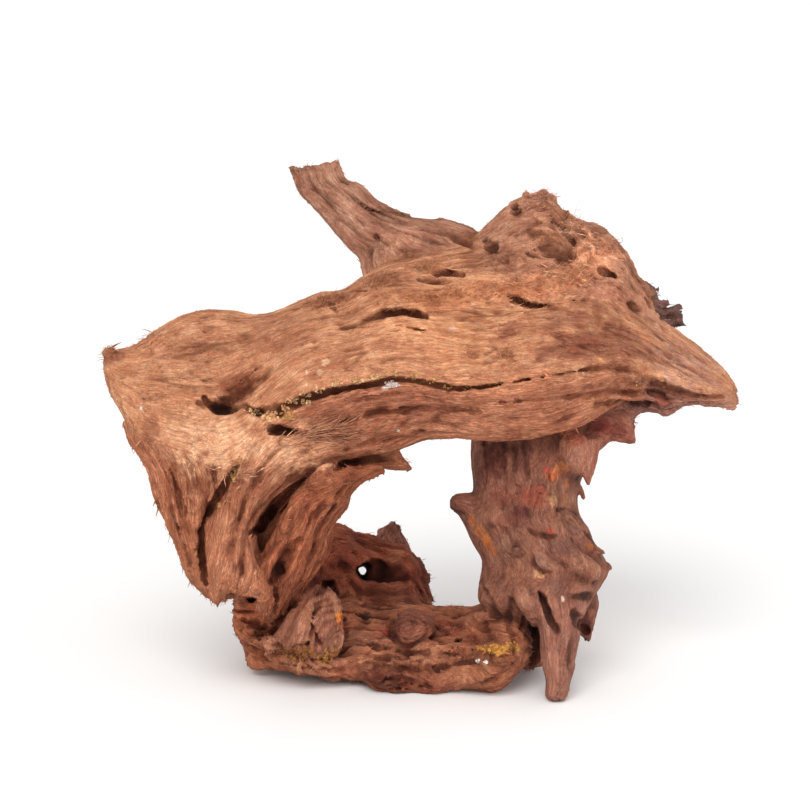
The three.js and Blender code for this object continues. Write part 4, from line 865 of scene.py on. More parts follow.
    ([(-76.8, -142.8, 1.3, 2.4), (-71.4, -148.8, 1.5, 3.5), (-64.2, -151.8, 1.5, 3.5), (-54.6, -152.4, 1.4, 3), (-45, -153, 1.2, 2)], 0.8),
    ([(-93.6, -115.8, 2.4, 9), (-92.4, -117.6, 2.4, 9)], 0.8),
    ([(-78, -108, 1.3, 4), (-77.4, -115.2, 1.5, 5), (-80.4, -121.8, 1.5, 5), (-84.6, -124.8, 1.2, 3)], 0.7),
    ([(-100.2, -124.2, 1.3, 2.5), (-91.8, -123.6, 1.5, 3.5), (-84, -127.2, 1.3, 3)], 0.8),
    ([(-97.2, -132.6, 1.3, 2.5), (-89.4, -131.4, 1.5, 3.5), (-82.2, -133.8, 1.3, 3)], 0.8),
    ([(-95.4, -145.8, 1.3, 2), (-83.4, -153.6, 1.5, 3), (-69, -155.4, 1.4, 3), (-51, -158.4, 1.3, 2)], 0.8),
    ([(-17.4, -98.4, 4.2, 13), (-12, -99.6, 4.6, 10), (-6.6, -100.2, 4.8, 7), (-1.2, -100.8, 4.2, 5.5)], 1.0),
    ([(-39, -93, 1.6, 2.5), (-31.8, -105, 2, 3), (-27, -117, 1.6, 2)], 1.3),
    ([(-36, -85.8, 1.8, 3), (-27, -90.6, 2, 3)], 1.3),
    ([(-45, -108.6, 1.6, 3.5), (-41.4, -112.2, 1.8, 3.5)], 1.2),
    ([(9, -96.6, 1.6, 4), (13.8, -100.8, 2, 6), (16.2, -103.2, 1.6, 5)], 0.8),
]
# ribs, knobs and spikes: (x, h, radius, how far out)
ADDS = [
    ([(-87, -108.6, 4.2, 1), (-85.2, -117, 5, 2.5), (-83.4, -123.6, 3.4, 1)], 2.5),
    ([(-82.2, -139.2, 3.4, 1.5), (-81, -145.2, 3, 1)], 2.0),
    ([(69, -111, 3.6, 1), (73.2, -119.4, 4.4, 2.5), (76.8, -127.8, 3, 2.5), (78.6, -134.4, 1.2, 1.4)], 2.0),
    ([(100.2, -111, 4, -1.5), (109.8, -110.4, 4, -1.5)], 4),
    ([(78.6, -87.6, 3.2, -1.6), (82.8, -94.2, 3.4, -1.8)], 3.4),
    ([(112.8, -87.6, 4.6, -2.4)], 2),
    ([(97.8, -19.8, 6, -2.2), (99, -28.2, 6, -2.2), (100.8, -36.6, 5, -2.4)], 8),
    ([(104.4, -49.2, 1.8, 0.5), (106.2, -52.2, 1.2, 0.8), (107.4, -56.4, 0.8, 0.5)], 1.0),
    ([(121.8, 5.4, 2, 0.8), (131.4, 4.5, 1.8, 1.6), (139.8, 3.9, 1.2, 1.8), (145.8, 4.2, 0.6, 1.6)], 1.0),
    ([(129, 12.6, 2.4, 0.2), (138.6, 13.8, 1.8, 0.8), (144.6, 14.7, 0.8, 0.8)], 1.0),
    ([(130.2, 9.6, 1.8, 0.2), (137.4, 9, 1.4, 0.8), (142.8, 8.4, 0.7, 0.8)], 0.8),
    ([(-5.4, -28.2, 2, 0.5), (-1.8, -33, 1.4, 0.5), (3, -38.4, 0.8, 0.3)], 1.0),
    ([(-179.4, 31.8, 3, 0.5), (-175.8, 33, 2, 1.5)], 1.5),
    ([(-65.4, 141, 2, 0.5), (-68.4, 142.2, 1.2, 0.5)], 1.5),
    ([(-45, 142.2, 2.4, 0.5), (-40.2, 146.4, 1.6, 0.5)], 1.5),
    ([(89.4, 114.6, 3.6, -0.6), (95.4, 110.4, 4.6, -0.8), (102, 105, 5.2, -1.2), (107.4, 98.4, 5.4, -2.2), (107.4, 90.6, 5, -2.8), (101.4, 83.4, 4.6, -3)], 4),
    ([(77.4, 113.4, 2.4, 0.2), (81.6, 111.6, 2.8, 0.4), (86.4, 110.4, 2, 0.2)], 1.6),
    ([(61.8, 123, 2.2, 0.8), (65.4, 125.4, 1.6, 1.2)], 1.4),
    ([(71.4, 123.6, 2.4, 0.2), (73.2, 126, 1.4, 0.4)], 1.4),
    ([(80.4, 124.2, 2.4, 0.2), (82.8, 126.6, 1.4, 0.4)], 1.4),
    ([(86.4, 122.4, 2, 0.2), (88.8, 123.6, 1.2, 0.4)], 1.4),
    ([(94.8, 114.6, 1.8, 0.2), (97.2, 115.2, 1.2, 0.4)], 1.4),
    ([(111, 105.6, 1.8, 0.2), (113.4, 106.2, 1.2, 0.4)], 1.4),
    ([(129, 97.2, 2, 0.2), (132.6, 97.8, 1.2, 0.4)], 1.4),
    ([(147, 66.6, 2.4, 0.6), (150.6, 69.6, 1, 0.6)], 1.0),
    ([(153, 59.4, 2.6, 0.6), (157.8, 62.4, 1, 0.6)], 1.0),
    ([(160.2, 56.4, 2.6, 0.8), (165, 59.4, 1.2, 0.8)], 1.0),
    ([(162.6, 50.4, 2, 0.6), (167.4, 48, 1, 0.6)], 1.0),
    ([(150.6, 48.6, 2, 0.6), (153, 44.4, 1, 0.6)], 1.0),
    ([(157.8, 47.4, 1.6, 0.6), (159.6, 43.8, 0.8, 0.6)], 1.0),
    ([(-36, -42.6, 5, -2.6), (-49.8, -46.2, 6, -2.8), (-60.6, -52.8, 5, -3.4)], 6),
    ([(-61.8, -46.2, 3.6, 0.6), (-67.8, -51, 4.4, 1.2), (-72.6, -55.8, 4.4, 1), (-76.8, -60.6, 3.4, -0.4)], 3),
    ([(-115.2, -113.4, 3.4, -0.4), (-112.8, -118.2, 1.8, 0), (-112.2, -121.8, 0.8, 0.2)], 1.5),
    ([(117, -87.6, 2.2, 0.2), (120, -88.8, 0.9, 0.2)], 1.0),
    ([(120.6, -96.6, 2.2, 0), (124.2, -98.4, 0.9, 0)], 1.2),
    ([(-50.4, -109.8, 3, -0.6), (-59.4, -114, 3, -0.4), (-64.8, -121.8, 3, -0.4), (-68.4, -130.2, 3, -0.6), (-73.2, -137.4, 2.6, -0.8)], 1.4),
    ([(-48, -112.8, 2.8, -0.6), (-55.8, -118.2, 2.8, -0.4), (-60.6, -125.4, 2.8, -0.4), (-63, -133.8, 2.8, -0.6), (-67.2, -142.2, 2.6, -0.8)], 1.4),
    ([(-44.4, -114.6, 3.2, -0.6), (-42, -121.8, 3.2, -0.4), (-42.6, -130.2, 3.2, -0.6), (-48, -138.6, 2.8, -0.8)], 1.6),
    ([(-19.8, -143.4, 3, -1.4), (-3, -144.6, 4, -0.8), (27, -148.2, 4, -1), (57, -147, 3, -1.2)], 4),
    ([(-63, -155.4, 4, -1), (-33, -157.8, 4, -0.8), (9, -155.4, 3, -1.2)], 4),
    ([(39, -132, 4, -0.6), (51, -126, 5, -0.6)], 4),
    ([(-45, -39, 4, -1.4), (-63, -57, 4, -1.4), (-72, -75, 4, -1.6)], 3),
    ([(-108, -39, 3.4, -1.2), (-115.8, -60, 3.4, -1)], 3),
    ([(100.2, -93, 5, -2.6), (112.2, -100.2, 5, -2.2)], 5),
]
SHAKE_AT = (-24.6, -99)
for path, k in ADDS:
    add(path, k)
GH = G.copy()
for path, k in CARVES:
    carve(path, k, GH)
# a small hole right through the rear root
p0, d0 = rays([SHAKE_AT])
c0 = p0 + d0 * 20
carve_through(np.concatenate([c0 + d0 * t for t in np.arange(0, 90, 6.0)]), np.full(15, 3.9), 0.8, 0.5)
log("carved")

# ------------------------------------------------------------------ relief along the grain
# per limb: broad lumps, folds and their pitch, fissures, fine grain, waviness, rot pits,
# raggedness (mm)
STYLE = dict(lump=2.2, fold=1.3, width=8.0, fissure=1.8, grain=0.55, curl=0.0, pit=1.2, rag=0.3)
STYLES = {
    "crown_slab": dict(lump=1.5, fold=0.22, width=9.0, fissure=0.5, grain=0.42, pit=0.4, rag=0.35),
    "crown_burl": dict(lump=3.0, fold=0.8, width=8.0, fissure=1.2, grain=0.55, curl=6.0, rag=0.9),
    "back_branch": dict(lump=1.6, fold=1.1, width=10.0, fissure=1.5, grain=0.5, rag=0.3),
    "front_band": dict(lump=1.3, fold=0.45, width=8.5, fissure=0.8, grain=0.55, pit=0.4, rag=0.25),
    "outer_wing": dict(lump=1.4, fold=0.8, width=6.0, fissure=1.3, grain=0.65, pit=0.6, rag=0.35),
    "inner_flank": dict(lump=1.3, fold=0.8, width=6.0, fissure=1.1, grain=0.65, pit=0.6, rag=0.25),
    "arch_spur": dict(lump=0.8, fold=0.5, width=6.0, fissure=0.8, grain=0.5, rag=0.25),
    "right_column": dict(lump=1.5, fold=0.2, width=8.0, fissure=0.5, grain=0.36, curl=4.5, pit=0.25, rag=0.3),
    "base_root": dict(lump=3.0, fold=1.4, width=9.0, fissure=1.8, grain=0.6, curl=4.5, pit=2.0, rag=0.9),
    "base_burl": dict(lump=1.8, fold=0.7, width=4.0, fissure=0.6, grain=0.5, curl=5.0, rag=0.3),
    "cut_stub": dict(lump=0.6, fold=0.3, width=5.0, fissure=0.4, grain=0.3, pit=0.2, rag=0.2),
    "rear_root": dict(lump=4.2, fold=1.5, width=10.0, fissure=1.8, grain=0.6, curl=4.0, pit=1.8, rag=0.8),
    "bark_sole": dict(lump=2.0, fold=1.8, width=5.5, fissure=2.2, grain=0.9, curl=4.0, pit=2.0, rag=1.4),
    "beak_under": dict(lump=1.4, fold=1.2, width=5.5, fissure=1.6, grain=0.8, pit=1.4, rag=0.9),
    "rear_stub": dict(lump=1.8, fold=1.5, width=5.0, fissure=1.6, grain=0.6, curl=3.0, rag=1.3),
    "column_fin": dict(lump=1.2, fold=0.7, width=6.0, fissure=0.9, grain=0.5, rag=0.6),
    "column_splinter": dict(lump=0.6, fold=0.5, width=5.0, fissure=0.7, grain=0.4, rag=0.3),
    "column_knob": dict(lump=1.0, fold=0.5, width=5.0, fissure=0.7, grain=0.4, curl=3.0, rag=0.3),
    "front_foot": dict(lump=1.4, fold=0.5, width=8.0, fissure=0.8, grain=0.45, rag=0.3),
    "side_hook": dict(lump=0.9, fold=0.6, width=5.0, fissure=0.8, grain=0.4, rag=0.4),
    "rear_spur": dict(lump=1.4, fold=1.2, width=5.0, fissure=1.4, grain=0.7, pit=1.6, rag=1.4),
    "rear_strut": dict(lump=1.6, fold=1.0, width=7.0, fissure=1.4, grain=0.6, rag=0.4),
}


def grain_coords(i, p):
    """Grain coordinates of limb i, bent where its grain is curly."""
    c = limbs[i].coords(p)
    curl = {**STYLE, **STYLES.get(limbs[i].name, {})}["curl"]
    sway = np.stack([noise(p / F(46), 31), noise(p / F(38), 32)], 1) * F(3.5)
    sway = sway + np.stack([noise(p / F(15), 35), noise(p / F(15), 36)], 1) * F(0.9)
    if curl:
        sway = sway + np.stack([noise(p / F(17), 33), noise(p / F(14), 34)], 1) * F(curl)
    c[:, 1:] += sway.astype(F)
    return c


def vec(*v):
    return np.array(v, F)


def relief(i, c, p):
    """Height of the skin over the limb's swept shape, and how deep in a fissure it is."""
    st = {**STYLE, **STYLES.get(limbs[i].name, {})}
    w = st["width"]
    k = i * 11
    h = st["lump"] * fbm(p / F(30), 3, 2)
    # folds of the wood: round crests, sharp valleys
    n = noise(c / vec(w * 7, w * 1.25, w * 1.25), 40 + k)
    f1 = np.minimum(np.abs(n) * 2.6, 1.25)
    n = noise(c / vec(w * 4.5, w * 0.55, w * 0.55), 50 + k)
    f2 = np.minimum(np.abs(n) * 2.4, 1.2)
    mask = 0.45 + 0.55 * step(noise(p / F(24), 55 + k), -0.4, 0.5)
    h = h + st["fold"] * ((f1 - 0.75) + 0.55 * (f2 - 0.75) * mask)
    h = h + st["grain"] * 1.1 * noise(c / vec(30, 3.0, 3.0), 60 + k)
    # open fissures
    n = noise(c / vec(w * 6, w * 0.8, w * 0.8), 80 + k)
    gate = step(noise(c / vec(50, 20, 20), 90 + k), -0.1, 0.35)
    crack = step(ridge(n), 0.66, 1.0) * gate
    n2 = noise(c / vec(w * 3.2, w * 0.4, w * 0.4), 84 + k)
    crack2 = step(ridge(n2), 0.6, 1.0) * step(noise(c / vec(36, 13, 13), 95 + k), -0.05, 0.35)
    h = h - st["fissure"] * (crack + 0.55 * crack2)
    # rot pits, drawn out along the grain
    pit = step(noise(c / vec(15, 5.5, 5.5), 98 + k), 0.5, 0.78)
    h = h - st["pit"] * 1.8 * pit
    # ragged, crumbling places
    rag = noise(p / F(3.6), 121) + 0.5 * noise(p / F(8), 122)
    h = h + st["rag"] * rag * (0.35 + 0.65 * step(noise(p / F(19), 123 + k), -0.25, 0.35))
    # broken ends of fibres: small steps along the grain
    t = c[:, 0] / F(9) + 1.6 * noise(c / vec(30, 5, 5), 99 + k)
    saw = t - np.floor(t)
    chip = step(noise(c / vec(30, 9, 9), 100 + k), 0.05, 0.5)
    h = h + st["grain"] * 0.9 * (saw - 0.5) * chip
    return h.astype(F), np.clip(np.maximum(np.maximum(crack, 0.7 * crack2), 0.8 * pit), 0, 1).astype(F)


def near_limbs(m1, m2, first, p, reach=7.0):
    """For points, each limb that matters there with its share: yields (limb, index of points, share)."""
    second = np.full(len(p), -1, np.int16)
    close = np.where(m2 - m1 < reach)[0]
    if len(close):
        best = np.full(len(close), 99.0, F)
        for j, (win, d) in enumerate(LOCAL):
            lo = LO + H * np.array([s.start for s in win])
            idx = (p[close] - lo) / H
            inside = ((idx >= 0) & (idx < np.array(d.shape) - 1)).all(1) & (first[close] != j)
            q = np.where(inside)[0]
            if len(q):
                v = trilinear(d, idx[q])
                better = v < best[q]
                best[q[better]] = v[better]
                second[close[q[better]]] = j
    share = 0.5 + 0.5 * step(m2 - m1, 0, reach)
    for j in range(len(limbs)):
        a = np.where(first == j)[0]
        b = np.where((second == j) & (share < 1))[0]
        if len(a) + len(b):
            yield j, np.concatenate([a, b]), np.concatenate([np.where(second[a] >= 0, share[a], 1), 1 - share[b]])


G0 = G.copy()
band = np.where(np.abs(G.reshape(-1)) < 5.0)[0]
ijk = np.stack(np.unravel_index(band, DIM), 1)
P = (LO + H * ijk).astype(F)
rise = np.zeros(len(P), F)
for j, sel, share in near_limbs(M1.reshape(-1)[band], M2.reshape(-1)[band], ID.reshape(-1)[band], P):
    c = grain_coords(j, P[sel])
    h, _ = relief(j, c, P[sel])
    np.add.at(rise, sel, h * share.astype(F))
flat = G.reshape(-1)
fade = 1 - step(np.abs(flat[band]), 3.6, 5.0)
# the relief is added in full near the skin and fades out from 3.6 to 5 mm away from it
flat[band] -= rise * fade
log("relief", len(P) / 1e6, "M points")
# ------------------------------------------------------------------ how hollow or proud the skin lies
def boxed(a, r):
    """Three box blurs of half-width r."""
    for _ in range(3):
        for ax in range(3):
            p = [(0, 0)] * 3
            p[ax] = (r + 1, r)
            c = np.cumsum(np.pad(a, p, mode="edge"), axis=ax, dtype=np.float64)
            n = a.shape[ax]
            hi = [slice(None)] * 3
            lo = [slice(None)] * 3
            hi[ax], lo[ax] = slice(2 * r + 1, 2 * r + 1 + n), slice(0, n)
            a = ((c[tuple(hi)] - c[tuple(lo)]) / (2 * r + 1)).astype(F)
    return a


HALF = np.ascontiguousarray(np.clip(G, -7, 7)[::2, ::2, ::2])
SMALL = boxed(HALF, 1)
WIDE = boxed(HALF, 4)


def cavity(v):
    """Positive in valleys, negative on crests, at a small and at a wide scale."""
    idx = (v - LO) / (2 * H)
    return -trilinear(SMALL, idx) / F(0.8 * H), -trilinear(WIDE, idx) / F(2.6 * H)


log("hollows")

# ------------------------------------------------------------------ cutting the wood into its pieces
FLOOR = max(0.0, CAD_BOX[0][2] * 1000)
z = LO[2] + H * np.arange(DIM[2])
G[:] = np.maximum(G, (FLOOR + 0.1 - z).astype(F)[None, None])


def surface(field, win):
    g = vdb.FloatGrid(float(BAND))
    g.transform = vdb.createLinearTransform(voxelSize=H)
    g.copyFromArray(np.ascontiguousarray(field), ijk=tuple(s.start for s in win))
    v, q = g.convertToQuads(0.0)
    return v.astype(float) + LO, q


def components(nv, q):
    """Labels each vertex with its connected component."""
    lab = np.arange(nv)
    for _ in range(200):
        m = lab[q].min(1)
        new = lab.copy()
        for j in range(q.shape[1]):
            np.minimum.at(new, q[:, j], m)
        new = new[new]
        if (new == lab).all():
            break
        lab = new
    return lab


def keep_big(v, q, least=150):
    lab = components(len(v), q)
    u, inv, cnt = np.unique(lab, return_inverse=True, return_counts=True)
    keep = cnt[inv] >= max(least, 0.02 * len(v))
    remap = np.cumsum(keep) - 1
    q = q[keep[q].all(1)]
    return v[keep], remap[q]


def normals(v, q):
    n = np.zeros_like(v)
    e = np.cross(v[q[:, 2]] - v[q[:, 0]], v[q[:, 3]] - v[q[:, 1]])
    for j in range(4):
        np.add.at(n, q[:, j], e)
    return n / np.maximum(np.linalg.norm(n, axis=1, keepdims=True), 1e-9)


def linear(c):
    c = np.asarray(c, float) / 255
    return np.where(c <= 0.04045, c / 12.92, ((c + 0.055) / 1.055) ** 2.4)


PIECES = {}
for n, limb in enumerate(limbs):
    win, d = LOCAL[n]
    g = G[win]
    other = np.where(ID[win] == n, M2[win], M1[win])
    part = d - other
    over = np.clip(part / 2.4, 0, 1)
    f = np.maximum(g + 0.5 * over, (part - 2.2) * 0.5)
    pad = np.pad(f, 1, constant_values=BAND)
    w1 = tuple(slice(s.start - 1, s.stop + 1) for s in win)
    v, q = surface(np.minimum(pad, BAND), w1)
    v, q = keep_big(v, q)
    nn = normals(v, q)
    grad = sample(G, v + nn * 1.0) - sample(G, v - nn * 1.0)
    if np.median(grad) < 0:
        q = q[:, ::-1]
        nn = -nn
    PIECES[limb.name] = (v, q, nn)
log("cut", {k: len(v[1]) for k, v in PIECES.items()}, "quads", sum(len(v[1]) for v in PIECES.values()))

# ------------------------------------------------------------------ skin: fine relief and colour at the vertices
WOOD = {
    "crown_slab": ((214, 153, 115), (188, 126, 92)),
    "crown_burl": ((194, 137, 110), (161, 108, 82)),
    "back_branch": ((180, 130, 106), (150, 100, 80)),
    "rear_stub": ((128, 92, 84), (86, 58, 52)),
    "beak_under": ((162, 112, 98), (124, 82, 72)),
    "front_band": ((182, 118, 88), (150, 91, 66)),
    "outer_wing": ((186, 119, 88), (150, 90, 64)),
    "arch_spur": ((156, 95, 68), (124, 72, 51)),
    "inner_flank": ((164, 97, 68), (130, 71, 49)),
    "right_column": ((151, 99, 78), (122, 74, 57)),
    "column_knob": ((134, 82, 64), (108, 62, 50)),
    "column_fin": ((170, 108, 86), (142, 80, 64)),
    "column_splinter": ((172, 112, 90), (148, 92, 74)),
    "front_foot": ((157, 105, 86), (135, 85, 69)),
    "side_hook": ((136, 84, 68), (104, 60, 50)),
    "rear_strut": ((166, 104, 84), (130, 78, 64)),
    "base_root": ((172, 106, 76), (136, 80, 56)),
    "base_burl": ((180, 120, 94), (140, 86, 66)),
    "cut_stub": ((142, 84, 64), (118, 68, 52)),
    "rear_root": ((170, 94, 68), (132, 68, 48)),
    "rear_spur": ((172, 120, 104), (130, 84, 70)),
    "bark_sole": ((110, 48, 34), (68, 28, 20)),
}
